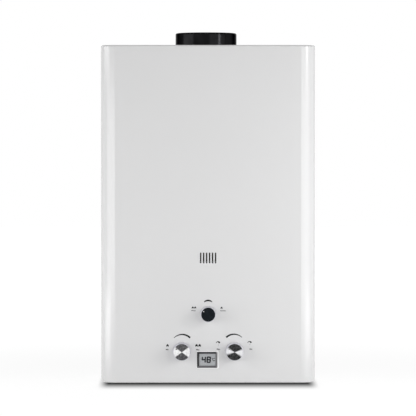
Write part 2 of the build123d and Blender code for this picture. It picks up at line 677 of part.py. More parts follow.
def exchanger_fins():
    """Finned block: fins in a sheet frame, joined by their collars round the tubes."""
    block_of_fins = extrude(Pos(0, 0, CHAMBER_TOP) * fire_plan(0), FIN_HEIGHT)
    count = int((CHAMBER_WIDTH - 2 * FIN_END) / FIN_PITCH)
    first = -FIN_PITCH * (count - 1) / 2
    y = (CHAMBER_FRONT + FIN_EDGE, CHAMBER_REAR - FIN_EDGE)
    gaps = []
    for index in range(count):
        centre = first + index * FIN_PITCH
        x = (centre - FIN_GAP / 2, centre + FIN_GAP / 2)
        gaps.append(block(x, y, (CHAMBER_TOP - SHEET, FIN_TOP + SHEET)))
    block_of_fins -= gaps
    for index in range(TUBE_COUNT):
        tube_y = FRONT_TUBE_Y + index * TUBE_PITCH
        ends = (-CHAMBER_X, tube_y, TUBE_Z), (CHAMBER_X, tube_y, TUBE_Z)
        block_of_fins += rod(TUBE_RADIUS + TUBE_FIT + FIN_COLLAR, *ends)
        block_of_fins -= rod(TUBE_RADIUS + TUBE_FIT, *ends)
    return block_of_fins


def exchanger_tubes():
    """Water tube that runs to and fro through the fins, in at the rear right."""
    turn = TUBE_PITCH / 2 - CHAMBER_WALL
    apex = TUBE_END + TUBE_PITCH / 2
    points = [(TUBE_END, REAR_TUBE_Y, TUBE_Z)]
    for index in range(TUBE_COUNT - 1):
        x = -apex if index % 2 == 0 else apex
        y = REAR_TUBE_Y - index * TUBE_PITCH
        points += [(x, y, TUBE_Z), (x, y - TUBE_PITCH, TUBE_Z)]
    points.append((-TUBE_END, FRONT_TUBE_Y, TUBE_Z))
    return bent_pipe(points, TUBE_RADIUS, TUBE_RADIUS - TUBE_WALL, turn)


def chamber_coil():
    """Pipe that goes once round the chamber and up to the exchanger."""
    side = CHAMBER_X + COIL_OFFSET
    front = CHAMBER_FRONT - COIL_OFFSET
    rear = CHAMBER_REAR + COIL_OFFSET
    riser = TUBE_END + TUBE_PITCH / 2
    points = [
        (COLD_RISER_X, COLD_RISER_Y, UNION_Z),
        (COLD_RISER_X, COLD_RISER_Y, COIL_Z),
        (side, front, COIL_Z),
        (-side, front, COIL_Z),
        (-side, rear, COIL_Z),
        (riser, rear, COIL_Z),
        (riser, REAR_TUBE_Y, TUBE_Z),
        (TUBE_END, REAR_TUBE_Y, TUBE_Z),
    ]
    return bent_pipe(points, PIPE_RADIUS, PIPE_RADIUS - PIPE_WALL, PIPE_BEND)


def rear_channel(base):
    """Channel between the back plate and the fire box, open to the back."""
    x = (-BRACKET_LENGTH / 2, BRACKET_LENGTH / 2)
    top = base + BRACKET_HEIGHT
    outer = block(x, (CHAMBER_REAR, INSIDE_BACK), (base, top))
    return outer - block((2 * x[0], 2 * x[1]), (CHAMBER_REAR + BRACKET_SHEET, BACK_Y),
                         (base + BRACKET_SHEET, top - BRACKET_SHEET))


def overheat_thermostat():
    """Button thermostat on the left wall of the chamber."""
    z = BURNER_TOP + THERMOSTAT_RISE
    half = THERMOSTAT_THICKNESS / 2
    low, middle = (-CHAMBER_X, CHAMBER_Y, z), (-CHAMBER_X - half, CHAMBER_Y, z)
    end = (-CHAMBER_X - THERMOSTAT_THICKNESS, CHAMBER_Y, z)
    return rod(THERMOSTAT_RADIUS, low, middle) + rod(THERMOSTAT_CAP_RADIUS, middle, end)


# --------------------------------------------------------------------- burner
def burner_positions():
    """X places of the burner bars and of their nozzles."""
    first = -BURNER_PITCH * (BURNER_COUNT - 1) / 2
    return [first + index * BURNER_PITCH for index in range(BURNER_COUNT)]


def burner_frame():
    """Sheet frame round the burners, with a hole for each burner's mouth."""
    frame = extrude(Pos(0, 0, BURNER_BASE) * (fire_plan(0) - fire_plan(CHAMBER_WALL)),
                    BURNER_TOP - BURNER_BASE)
    for x in burner_positions():
        start = (x, CHAMBER_FRONT - CHAMBER_WALL, MANIFOLD_Z)
        end = (x, CHAMBER_FRONT + 2 * CHAMBER_WALL, MANIFOLD_Z)
        frame -= rod(VENTURI_MOUTH + MOUTH_GAP, start, end)
    return frame


def burner_bar(x):
    """One pressed burner: mixing tube, turn at the back, flame ports on top."""
    front, rear = CHAMBER_FRONT + CHAMBER_WALL, CHAMBER_REAR - CHAMBER_WALL
    height = BURNER_TOP - BURNER_BASE
    thickness = (x - BURNER_THICKNESS / 2, x + BURNER_THICKNESS / 2)
    bar = block(thickness, (front, rear), (BURNER_BASE, BURNER_TOP))
    rear_edges = bar.edges().filter_by(Axis.X).group_by(Axis.Y)[-1]
    bar = fillet(rear_edges, height / 3)
    neck_low = MANIFOLD_Z + VENTURI_RADIUS
    neck_high = BURNER_TOP - FLAME_CHAMBER
    wide = (x - BURNER_THICKNESS, x + BURNER_THICKNESS)
    bar -= block(wide, (front - SHEET, rear - height / 2), (neck_low, neck_high))
    bar -= block(wide, (front - SHEET, rear - height), (BURNER_BASE - SHEET, MANIFOLD_Z - VENTURI_RADIUS))
    start, end = (x, front, MANIFOLD_Z), (x, front + VENTURI_LENGTH, MANIFOLD_Z)
    bar += rod(VENTURI_RADIUS, start, end)
    flare = VENTURI_FLARE + CHAMBER_WALL
    cone = Cone(VENTURI_RADIUS, VENTURI_MOUTH, flare)
    bar += Pos(x, front - flare / 2, MANIFOLD_Z) * Rotation(90, 0, 0) * cone
    bar -= rod(VENTURI_BORE, (x, front - flare - SHEET, MANIFOLD_Z), end)
    spacing = (rear - front - height / 3) / FLAME_PORTS
    for index in range(FLAME_PORTS):
        y = front + spacing * (index + 0.5)
        port = (y - PORT_WIDTH / 2, y + PORT_WIDTH / 2)
        bar -= block(wide, port, (BURNER_TOP - PORT_DEPTH, BURNER_TOP + SHEET))
    return bar


def gas_manifold():
    """Square gas rail on two legs that stand on the season valve."""
    reach = burner_positions()[-1] + MANIFOLD_END
    half = MANIFOLD_SIZE / 2
    rail = block((-reach, reach), (SEASON_Y - half, SEASON_Y + half),
                 (MANIFOLD_Z - half, MANIFOLD_Z + half))
    for x in (-SEASON_OUTLET_SPREAD, SEASON_OUTLET_SPREAD):
        rail += rod(MANIFOLD_LEG_RADIUS, (x, SEASON_Y, SEASON_TOP), (x, SEASON_Y, MANIFOLD_Z))
    return rail


def gas_nozzles():
    """Brass jets on the rail, one for each burner."""
    start = SEASON_Y + MANIFOLD_SIZE / 2
    shoulder = start + NOZZLE_LENGTH - NOZZLE_TIP
    jets = []
    for x in burner_positions():
        jet = rod(NOZZLE_RADIUS, (x, start, MANIFOLD_Z), (x, shoulder, MANIFOLD_Z))
        tip = Cone(NOZZLE_RADIUS, NOZZLE_TIP_RADIUS, NOZZLE_TIP)
        jets.append(jet + Pos(x, shoulder + NOZZLE_TIP / 2, MANIFOLD_Z) * Rotation(-90, 0, 0) * tip)
    return jets


def season_valve_body():
    """Block that feeds half of the burners, or all of them."""
    half = SEASON_BLOCK_WIDTH / 2
    body = block((-half, half), (SEASON_FRONT, SEASON_REAR),
                 (SEASON_TOP - SEASON_BLOCK_HEIGHT, SEASON_TOP))
    body = fillet(body.edges().filter_by(Axis.Y), 3 * SHEET)
    body -= rod(SEASON_BORE, (0, SEASON_FRONT, SEASON_Z), (0, SEASON_FRONT + SEASON_BORE_DEPTH, SEASON_Z))
    bore = PIPE_RADIUS - PIPE_WALL
    body -= rod(bore, (GAS_OUTLET_X, SEASON_REAR, SEASON_Z), (GAS_OUTLET_X, SEASON_Y, SEASON_Z))
    gallery = bore + SEASON_GALLERY_STEP
    body -= rod(gallery, (GAS_OUTLET_X - gallery, SEASON_Y, SEASON_Z), (0, SEASON_Y, SEASON_Z))
    for x in (-SEASON_OUTLET_SPREAD, SEASON_OUTLET_SPREAD):
        body -= rod(bore, (x, SEASON_Y, SEASON_Z), (x, SEASON_Y, SEASON_TOP))
    return body


# ------------------------------------------------------------- gas and water
def boss_bar(radius, x, near, far):
    """Round bar on a lower spindle's axis, between two places along Y."""
    return rod(radius, (x, near, KNOB_Z), (x, far, KNOB_Z))


def gas_valve_body():
    """Cast gas valve: inlet chamber, seat, outlet chamber and spindle boss."""
    body = along_link([(GAS_LEFT, 0), (GAS_LEFT, GAS_BODY_RADIUS),
                       (GAS_FACE_X, GAS_BODY_RADIUS), (GAS_FACE_X, 0)])
    body += boss_bar(BOSS_RADIUS, -KNOB_SPREAD, BOSS_END_Y, LINK_Y)
    body += upright(FOOT_RADIUS, GAS_INLET_X, VALVE_FOOT_Z, KNOB_Z)
    body += upright(TOP_BOSS_RADIUS, GAS_OUTLET_X, KNOB_Z, VALVE_TOP_Z)
    body -= along_link([
        (GAS_LEFT, 0), (GAS_LEFT, GAS_IN_RADIUS), (SEAT_LEFT, GAS_IN_RADIUS),
        (SEAT_LEFT, GAS_SEAT_RADIUS), (SEAT_RIGHT, GAS_SEAT_RADIUS),
        (SEAT_RIGHT, GAS_OUT_RADIUS), (GAS_CHAMBER_RIGHT, GAS_OUT_RADIUS),
        (GAS_CHAMBER_RIGHT, ROD_RADIUS + SHAFT_FIT), (GAS_FACE_X, ROD_RADIUS + SHAFT_FIT),
        (GAS_FACE_X, 0),
    ])
    body -= boss_bar(BOSS_BORE, -KNOB_SPREAD, BOSS_END_Y, LINK_Y)
    body -= upright(FITTING_BORE, GAS_INLET_X, VALVE_FOOT_Z, KNOB_Z)
    return body - upright(PIPE_RADIUS - PIPE_WALL, GAS_OUTLET_X, KNOB_Z, VALVE_TOP_Z)


def gas_valve_cap():
    """End cap with a post that carries the return spring."""
    return along_link([
        (GAS_LEFT - GAS_CAP, 0), (GAS_LEFT - GAS_CAP, GAS_BODY_RADIUS),
        (GAS_LEFT, GAS_BODY_RADIUS), (GAS_LEFT, GAS_IN_RADIUS - SHAFT_FIT),
        (GAS_LEFT + GAS_CAP, GAS_IN_RADIUS - SHAFT_FIT), (GAS_LEFT + GAS_CAP, SPRING_RADIUS + SPRING_WIRE),
        (SPRING_POST_END, SPRING_RADIUS + SPRING_WIRE),
        (SPRING_POST_END, GAS_SPRING_POST_RADIUS), (SPRING_POST_END + GAS_CAP, GAS_SPRING_POST_RADIUS),
        (SPRING_POST_END + GAS_CAP, 0),
    ])


def gas_poppet():
    """Sealing disc that the push rod lifts off the gas seat."""
    return along_link([(POPPET_LEFT, 0), (POPPET_LEFT, POPPET_RADIUS),
                       (POPPET_RIGHT, POPPET_RADIUS), (POPPET_RIGHT, 0)])


def valve_return_spring():
    """Coil spring between the cap's post and the poppet."""
    length = POPPET_LEFT - SPRING_POST_END - 2 * SPRING_WIRE
    pitch = length / SPRING_TURNS
    path = Helix(pitch=pitch, height=length, radius=SPRING_RADIUS)
    section = Plane(origin=path @ 0, z_dir=path % 0) * RegularPolygon(SPRING_WIRE, 6)
    coil = sweep(section, path=path, is_frenet=True)
    place = Plane(origin=(SPRING_POST_END + SPRING_WIRE, LINK_Y, KNOB_Z), z_dir=(1, 0, 0))
    return place.location * coil


def gas_feed_pipe():
    """Pipe from the gas valve's outlet to the back of the season valve."""
    points = [(GAS_OUTLET_X, LINK_Y, VALVE_TOP_Z), (GAS_OUTLET_X, LINK_Y, SEASON_Z),
              (GAS_OUTLET_X, SEASON_REAR, SEASON_Z)]
    return bent_pipe(points, PIPE_RADIUS, PIPE_RADIUS - PIPE_WALL, FEED_BEND)


def clamp_bars(radius, start, end):
    """Bars on the clamp screws' circle round the link axis."""
    bars = []
    for index in range(CLAMP_SCREWS):
        angle = math.tau * (index + 0.5) / CLAMP_SCREWS
        y = LINK_Y + CLAMP_CIRCLE * math.cos(angle)
        z = KNOB_Z + CLAMP_CIRCLE * math.sin(angle)
        bars.append(rod(radius, (start, y, z), (end, y, z)))
    return bars


def water_valve_body():
    """Cast water valve: clamp flange, bore, spindle boss, inlet, outlet, drain."""
    body = along_link([
        (DIAPHRAGM_RIGHT, 0), (DIAPHRAGM_RIGHT, WATER_FLANGE_RADIUS),
        (WATER_FLANGE_RIGHT, WATER_FLANGE_RADIUS), (WATER_FLANGE_RIGHT, WATER_BODY_RADIUS),
        (WATER_RIGHT, WATER_BODY_RADIUS), (WATER_RIGHT, 0),
    ])
    body += boss_bar(BOSS_RADIUS, KNOB_SPREAD, BOSS_END_Y, LINK_Y)
    body += upright(FOOT_RADIUS, WATER_INLET_X, VALVE_FOOT_Z, KNOB_Z)
    body += upright(TOP_BOSS_RADIUS, WATER_INLET_X, KNOB_Z, VALVE_TOP_Z)
    body += upright(DRAIN_BOSS_RADIUS, DRAIN_X, VALVE_FOOT_Z, KNOB_Z)
    body -= along_link([(DIAPHRAGM_RIGHT, 0), (DIAPHRAGM_RIGHT, WATER_BORE),
                        (WATER_RIGHT - WATER_END_WALL, WATER_BORE), (WATER_RIGHT - WATER_END_WALL, 0)])
    body -= boss_bar(BOSS_BORE, KNOB_SPREAD, BOSS_END_Y, LINK_Y)
    body -= upright(FITTING_BORE, WATER_INLET_X, VALVE_FOOT_Z, KNOB_Z)
    body -= upright(PIPE_RADIUS - PIPE_WALL, WATER_INLET_X, KNOB_Z, VALVE_TOP_Z)
    body -= upright(DRAIN_STEM_RADIUS + SHAFT_FIT, DRAIN_X, VALVE_FOOT_Z, KNOB_Z)
    return body - clamp_bars(CLAMP_SHANK + CLAMP_FIT, DIAPHRAGM_RIGHT, WATER_FLANGE_RIGHT)


def water_valve_cover():
    """Domed cover that clamps the diaphragm and guides the push rod."""
    cover = along_link([
        (WATER_FACE_X, ROD_RADIUS + SHAFT_FIT), (WATER_FACE_X, DOME_RADIUS),
        (COVER_FLANGE_LEFT, DOME_RADIUS), (COVER_FLANGE_LEFT, WATER_FLANGE_RADIUS),
        (DIAPHRAGM_LEFT, WATER_FLANGE_RADIUS), (DIAPHRAGM_LEFT, DOME_CAVITY_RADIUS),
        (CAVITY_LEFT, DOME_CAVITY_RADIUS), (CAVITY_LEFT, ROD_RADIUS + SHAFT_FIT),
    ])
    return cover - clamp_bars(CLAMP_SHANK + CLAMP_FIT, COVER_FLANGE_LEFT, DIAPHRAGM_LEFT)


def diaphragm():
    """Rubber disc clamped between the cover and the body."""
    disc = along_link([(DIAPHRAGM_LEFT, 0), (DIAPHRAGM_LEFT, WATER_FLANGE_RADIUS),
                       (DIAPHRAGM_RIGHT, WATER_FLANGE_RADIUS), (DIAPHRAGM_RIGHT, 0)])
    return disc - clamp_bars(CLAMP_SHANK + CLAMP_FIT, DIAPHRAGM_LEFT, DIAPHRAGM_RIGHT)


def clamp_screws():
    """Screws that hold the water valve's cover to its body."""
    heads = clamp_bars(CLAMP_HEAD, COVER_FLANGE_LEFT - CLAMP_HEAD_HEIGHT, COVER_FLANGE_LEFT)
    shanks = clamp_bars(CLAMP_SHANK, COVER_FLANGE_LEFT, WATER_FLANGE_RIGHT)
    return [head + shank for head, shank in zip(heads, shanks)]


def push_rod():
    """Rod with the pressure plate at one end and the switch cam in the middle."""
    plate_right = DIAPHRAGM_LEFT - LINK_CLEARANCE
    plate_left = plate_right - PLATE_THICKNESS
    return along_link([
        (POPPET_RIGHT, 0), (POPPET_RIGHT, ROD_RADIUS), (CAM_LEFT, ROD_RADIUS),
        (CAM_LEFT, CAM_RADIUS), (CAM_RIGHT, CAM_RADIUS), (CAM_RIGHT, ROD_RADIUS),
        (plate_left, ROD_RADIUS), (plate_left, PLATE_RADIUS), (plate_right, PLATE_RADIUS),
        (plate_right, 0),
    ])


def cold_water_pipe():
    """Pipe from the water valve up to the union beside the burner."""
    points = [
        (WATER_INLET_X, LINK_Y, VALVE_TOP_Z),
        (WATER_INLET_X, LINK_Y, COLD_RUN_Z),
        (COLD_RISER_X, COLD_RISER_Y, COLD_RUN_Z),
        (COLD_RISER_X, COLD_RISER_Y, UNION_Z),
    ]
    return bent_pipe(points, PIPE_RADIUS, PIPE_RADIUS - PIPE_WALL, PIPE_BEND)


def hot_water_pipe():
    """Pipe from the exchanger down to the hot outlet."""
    points = [(-TUBE_END, HOT_Y, TUBE_Z), (HOT_X, HOT_Y, TUBE_Z), (HOT_X, HOT_Y, HOT_SOCKET_Z)]
    return bent_pipe(points, PIPE_RADIUS, PIPE_RADIUS - PIPE_WALL, PIPE_BEND)


def water_temperature_sensor():
    """Clip-on sensor on the hot pipe."""
    low, high = SENSOR_Z - SENSOR_HEIGHT / 2, SENSOR_Z + SENSOR_HEIGHT / 2
    clip = upright(SENSOR_RADIUS, HOT_X, low, high, HOT_Y)
    clip += block((HOT_X - SENSOR_RADIUS - SENSOR_POD, HOT_X),
                  (HOT_Y - SENSOR_POD / 2, HOT_Y + SENSOR_POD / 2), (low, high))
    return clip - upright(PIPE_RADIUS + THREAD_FIT, HOT_X, low, high, HOT_Y)


def pipe_fitting(x, y, socket_z, bore):
    """Threaded spigot through the bottom plate, up to the part that it serves."""
    shank_end = SKIRT_HEIGHT - LOCK_NUT
    fitting = upright(SPIGOT_RADIUS, x, SPIGOT_END_Z, shank_end, y)
    fitting += upright(SHANK_RADIUS, x, shank_end, FLOOR_Z, y)
    fitting += upright(FITTING_COLLAR_RADIUS, x, FLOOR_Z, FLOOR_Z + FITTING_COLLAR, y)
    fitting += upright(FITTING_SOCKET_RADIUS, x, FLOOR_Z + FITTING_COLLAR, socket_z, y)
    return fitting - upright(bore, x, SPIGOT_END_Z, socket_z, y)


def pipe_nuts():
    """Lock nuts under the bottom plate, and the union nut of the cold pipe."""
    nuts = []
    for x, y in ((HOT_X, HOT_Y), (GAS_INLET_X, LINK_Y), (WATER_INLET_X, LINK_Y)):
        low, high = (x, y, SKIRT_HEIGHT - LOCK_NUT), (x, y, SKIRT_HEIGHT)
        nuts.append(hexagon(LOCK_NUT_RADIUS, SHANK_RADIUS + THREAD_FIT, low, high))
    low = (COLD_RISER_X, COLD_RISER_Y, UNION_Z - UNION_HEIGHT / 2)
    high = (COLD_RISER_X, COLD_RISER_Y, UNION_Z + UNION_HEIGHT / 2)
    nuts.append(hexagon(UNION_RADIUS, PIPE_RADIUS + THREAD_FIT, low, high))
    return nuts


def drain_plug():
    """Plug with a finger grip that empties the water side."""
    grip_top = SKIRT_HEIGHT - DRAIN_HEAD_HEIGHT
    plug = upright(DRAIN_STEM_RADIUS, DRAIN_X, SKIRT_HEIGHT - LINK_CLEARANCE, VALVE_FOOT_Z + DRAIN_STEM_IN)
    plug += upright(DRAIN_HEAD_RADIUS, DRAIN_X, grip_top - LINK_CLEARANCE, SKIRT_HEIGHT - LINK_CLEARANCE)
    half = DRAIN_GRIP_WIDTH / 2
    grip = block((DRAIN_X - DRAIN_HEAD_RADIUS + SHEET, DRAIN_X + DRAIN_HEAD_RADIUS - SHEET),
                 (LINK_Y - half, LINK_Y + half),
                 (grip_top - LINK_CLEARANCE - DRAIN_GRIP_HEIGHT, grip_top - LINK_CLEARANCE))
    return plug + fillet(grip.edges().filter_by(Axis.Y).group_by(Axis.Z)[0], 3 * SHEET)


# ---------------------------------------------------------------- microswitch
def microswitch():
    """Switch body with two ears that hold its lever."""
    x = (SWITCH_RIGHT - SWITCH_LENGTH, SWITCH_RIGHT)
    y = (LINK_Y - SWITCH_WIDTH / 2, LINK_Y + SWITCH_WIDTH / 2)
    body = block(x, y, (SWITCH_BASE, SWITCH_BASE + SWITCH_HEIGHT))
    reach = 2 * LEVER_BARREL
    for side in (-1, 1):
        near = LEVER_WIDTH / 2 + EAR_GAP
        ear = sorted((LINK_Y + side * near, LINK_Y + side * (near + EAR_THICKNESS)))
        body += block((PIVOT_X - reach, PIVOT_X + reach), ear, (PIVOT_Z - LEVER_BARREL, SWITCH_BASE))
    return body - pivot_bar(LEVER_PIN + SHAFT_FIT, SWITCH_WIDTH)


def pivot_bar(radius, length):
    """Round bar on the lever's pivot, centred on the link."""
    return rod(radius, (PIVOT_X, LINK_Y - length / 2, PIVOT_Z), (PIVOT_X, LINK_Y + length / 2, PIVOT_Z))


def microswitch_lever():
    """Lever that the cam tips, with its pivot pin."""
    half = LEVER_THICKNESS / 2
    y = (LINK_Y - LEVER_WIDTH / 2, LINK_Y + LEVER_WIDTH / 2)
    lever = block((PIVOT_X - half, PIVOT_X + half), y, (PIVOT_Z - LEVER_DROP, PIVOT_Z))
    lever += pivot_bar(LEVER_BARREL, LEVER_WIDTH)
    return lever + pivot_bar(LEVER_PIN, LEVER_WIDTH + 2 * (EAR_GAP + EAR_THICKNESS))


def microswitch_bracket():
    """Bent strip from the water valve's flange to the switch."""
    y = (LINK_Y - SWITCH_WIDTH / 2, LINK_Y + SWITCH_WIDTH / 2)
    low = KNOB_Z + DOME_RADIUS + SHEET
    high = KNOB_Z + WATER_FLANGE_RADIUS - 2 * SHEET
    leg = BRACKET_LEG
    strip = block((SWITCH_RIGHT, SWITCH_RIGHT + leg), y, (low, SWITCH_BASE + SWITCH_HEIGHT))
    strip += block((SWITCH_RIGHT, COVER_FLANGE_LEFT), y, (low, low + leg))
    return strip + block((COVER_FLANGE_LEFT - leg, COVER_FLANGE_LEFT), y, (low, high))


# -------------------------------------------------------------------- ignition
IGNITER_X = -(INSIDE_X - IGNITER_SIDE_ROOM - IGNITER_WIDTH / 2)
IGNITER_Y = INSIDE_FRONT + IGNITER_FRONT_ROOM + IGNITER_DEPTH / 2
IGNITER_TOP = FLOOR_Z + IGNITER_HEIGHT
ELECTRODE_Z = BURNER_TOP + ELECTRODE_RISE
CERAMIC_END = CHAMBER_FRONT - CERAMIC_LENGTH + CERAMIC_INSIDE
WIRE_END = CERAMIC_END - LEAD_RADIUS


def igniter_box():
    """Pulse igniter on the bottom plate, with the tower of its spark lead."""
    width, depth = IGNITER_WIDTH / 2, IGNITER_DEPTH / 2
    case = block((IGNITER_X - width, IGNITER_X + width), (IGNITER_Y - depth, IGNITER_Y + depth),
                 (FLOOR_Z, IGNITER_TOP))
    case = fillet(case.edges().filter_by(Axis.Z), IGNITER_EDGE)
    top = (IGNITER_X, IGNITER_Y, IGNITER_TOP + TOWER_HEIGHT)
    return case + rod(TOWER_RADIUS, (IGNITER_X, IGNITER_Y, IGNITER_TOP), top)


def ignition_lead():
    """Insulated lead from the igniter's tower to the spark electrode."""
    out = WIRE_END - LEAD_EXIT_BEND - LEAD_RADIUS
    points = [
        (IGNITER_X, IGNITER_Y, IGNITER_TOP + TOWER_HEIGHT),
        (IGNITER_X, IGNITER_Y, ELECTRODE_Z),
        (-ELECTRODE_SPREAD, out, ELECTRODE_Z),
        (-ELECTRODE_SPREAD, WIRE_END, ELECTRODE_Z),
    ]
    return bent_pipe(points, LEAD_RADIUS, 0, (LEAD_BEND, LEAD_EXIT_BEND))


def electrode_bar(x, radius, near, far):
    """Round bar on an electrode's axis, between two places along Y."""
    return rod(radius, (x, near, ELECTRODE_Z), (x, far, ELECTRODE_Z))


def electrode(x):
    """Ceramic sleeve with a wire that ends above the burners."""
    sleeve = electrode_bar(x, CERAMIC_RADIUS, CERAMIC_END, CERAMIC_END + CERAMIC_LENGTH)
    return sleeve + electrode_bar(x, WIRE_RADIUS, WIRE_END, CHAMBER_FRONT + CERAMIC_INSIDE + WIRE_INSIDE)


def electrode_bracket():
    """Two small plates that hold the electrodes on the chamber's front."""
    half = ELECTRODE_PLATE / 2
    y = (CHAMBER_FRONT - ELECTRODE_PLATE_THICKNESS, CHAMBER_FRONT)
    plates = []
    for side in (-1, 1):
        x = side * ELECTRODE_SPREAD
        low = ELECTRODE_Z - min(half, ELECTRODE_RISE)
        plate = block((x - half, x + half), y, (low, ELECTRODE_Z + half))
        plates.append(plate - electrode_bar(x, CERAMIC_RADIUS + ELECTRODE_HOLE_GAP, *y))
    return plates


# --------------------------------------------------------------------- battery
def cell_positions():
    """X places of the two upright cells."""
    half = CELL_RADIUS + CELL_GAP / 2
    return (BOX_X - half, BOX_X + half)


def battery_box():
    """Moulded box over the opening in the bottom plate, with a foot flange."""
    inner_x, inner_y = BOX_INSIDE_X / 2, BOX_INSIDE_Y / 2
    wall = 2 * BOX_WALL
    plan = Pos(BOX_X, BOX_Y) * panel(BOX_INSIDE_X + wall, BOX_INSIDE_Y + wall, wall)
    edge = 2 * (BOX_WALL + BOX_FLANGE)
    foot = Pos(BOX_X, BOX_Y) * panel(BOX_INSIDE_X + edge, BOX_INSIDE_Y + edge, BOX_FLANGE)
    box = extrude(Pos(0, 0, FLOOR_Z) * plan, BOX_TOP - FLOOR_Z)
    box += extrude(Pos(0, 0, FLOOR_Z) * foot, BOX_WALL)
    return box - block((BOX_X - inner_x, BOX_X + inner_x), (BOX_Y - inner_y, BOX_Y + inner_y),
                       (FLOOR_Z, BOX_TOP - BOX_WALL))


def battery_cells():
    """Two D-size cells, one of them upside down."""
    cells = []
    for side, x in zip((0, 1), cell_positions()):
        low, high = (x, BOX_Y, CELL_BASE), (x, BOX_Y, CELL_TOP)
        nub = (x, BOX_Y, CELL_TOP + CELL_NUB)
        cell = rod(CELL_RADIUS, low, high)
        cell = chamfer(cell.edges().filter_by(GeomType.CIRCLE), SHEET)
        if side:
            cell += rod(CELL_NUB_RADIUS, high, nub)
        cells.append(cell)
    return cells


def battery_contacts():
    """Conical contacts between the cells and the top of the box."""
    contacts = []
    top = BOX_TOP - BOX_WALL
    for side, x in zip((0, 1), cell_positions()):
        base = CELL_TOP + side * CELL_NUB
        cone = Cone(CONTACT_RADIUS / 2, CONTACT_RADIUS, top - base)
        contacts.append(Pos(x, BOX_Y, (top + base) / 2) * cone)
    return contacts


def hinge_bar(radius, length):
    """Round bar on the battery door's hinge."""
    half = length / 2
    return rod(radius, (BOX_X - half, HINGE_Y, HINGE_Z), (BOX_X + half, HINGE_Y, HINGE_Z))


def battery_door():
    """Moulded door under the cells: plate, knuckle with its two pins, finger lip."""
    half_x = BOX_INSIDE_X / 2 + DOOR_OVERLAP
    front = BOX_Y - BOX_INSIDE_Y / 2 - DOOR_OVERLAP
    knuckle = KNUCKLE_LENGTH / 2
    rear = BOX_Y + BOX_INSIDE_Y / 2 + DOOR_OVERLAP - DOOR_GAP
    door = block((BOX_X - half_x, BOX_X + half_x), (front, rear), (DOOR_BASE, DOOR_TOP))
    door += block((BOX_X - knuckle, BOX_X + knuckle), (rear, HINGE_Y), (DOOR_BASE, DOOR_TOP))
    door += hinge_bar(DOOR_THICKNESS / 2, KNUCKLE_LENGTH)
    door += hinge_bar(HINGE_PIN, KNUCKLE_LENGTH + 2 * (DOOR_GAP + LUG_WIDTH))
    lip = block((BOX_X - knuckle / 2, BOX_X + knuckle / 2), (front - DOOR_THICKNESS, front),
                (DOOR_BASE, DOOR_BASE + DOOR_THICKNESS / 2))
    return door + lip


def battery_door_strip():
    """Spring strip on the door that joins the two cells."""
    left, right = cell_positions()
    half = CELL_NUB_RADIUS
    return block((left - half, right + half), (BOX_Y - half, BOX_Y + half),
                 (DOOR_TOP, SKIRT_HEIGHT + DOOR_STRIP))


# --------------------------------------------------------------------- display
def window(grow_x, grow_y, near, far, corner=0.0):
    """Solid of the glass opening grown on each side, between two depths."""
    shape = panel(GLASS_WIDTH + 2 * grow_x, GLASS_HEIGHT + 2 * grow_y, corner)
    return front_plate(shape, DISPLAY_X, DISPLAY_Z, near, far)


GLASS_REAR = GLASS_DEPTH + GLASS_THICKNESS
PANEL_REAR = GLASS_REAR + PANEL_THICKNESS
BOARD_REAR = PANEL_REAR + BOARD_THICKNESS


def display_bezel():
    """Dark frame in the window: ledge behind the sheet, flared clear opening."""
    outer = panel(BEZEL_WIDTH, BEZEL_HEIGHT, BEZEL_CORNER)
    frame = front_plate(outer, DISPLAY_X, DISPLAY_Z, BEZEL_RECESS, GLASS_REAR)
    ledge = panel(BEZEL_WIDTH + 2 * BEZEL_FLANGE, BEZEL_HEIGHT + 2 * BEZEL_FLANGE, BEZEL_CORNER)
    frame += front_plate(ledge, DISPLAY_X, DISPLAY_Z, SHEET, SHEET + BEZEL_FLANGE_THICKNESS)
    near = front_plane(DISPLAY_X, DISPLAY_Z, BEZEL_RECESS) * Rectangle(
        GLASS_WIDTH + 2 * BEZEL_FLARE, GLASS_HEIGHT + 2 * BEZEL_FLARE)
    far = front_plane(DISPLAY_X, DISPLAY_Z, GLASS_DEPTH) * Rectangle(GLASS_WIDTH, GLASS_HEIGHT)
    frame -= loft([near, far])
    return frame - window(GLASS_EDGE, GLASS_EDGE, GLASS_DEPTH, GLASS_REAR)


def display_housing():
    """Box behind the panel that holds the display and its board."""
    near = BEZEL_FLANGE + LINK_CLEARANCE
    far = near + DISPLAY_WALL
    outer = panel(BEZEL_WIDTH + 2 * far, BEZEL_HEIGHT + 2 * far, BEZEL_CORNER)
    inner = panel(BEZEL_WIDTH + 2 * near, BEZEL_HEIGHT + 2 * near, BEZEL_CORNER)
    box = front_plate(outer, DISPLAY_X, DISPLAY_Z, SHEET, SHEET + DISPLAY_DEPTH)
    return box - front_plate(inner, DISPLAY_X, DISPLAY_Z, SHEET, SHEET + DISPLAY_DEPTH - DISPLAY_WALL)


# ----------------------------------------------------------------------- knobs
def d_section(grow):
    """D-shaped section of a shaft's end, grown by a clearance."""
    flat = SHAFT_FLAT + grow
    cut = Pos(0, flat + SHAFT_RADIUS) * Rectangle(4 * SHAFT_RADIUS, 2 * SHAFT_RADIUS)
    return Circle(SHAFT_RADIUS + grow) - cut


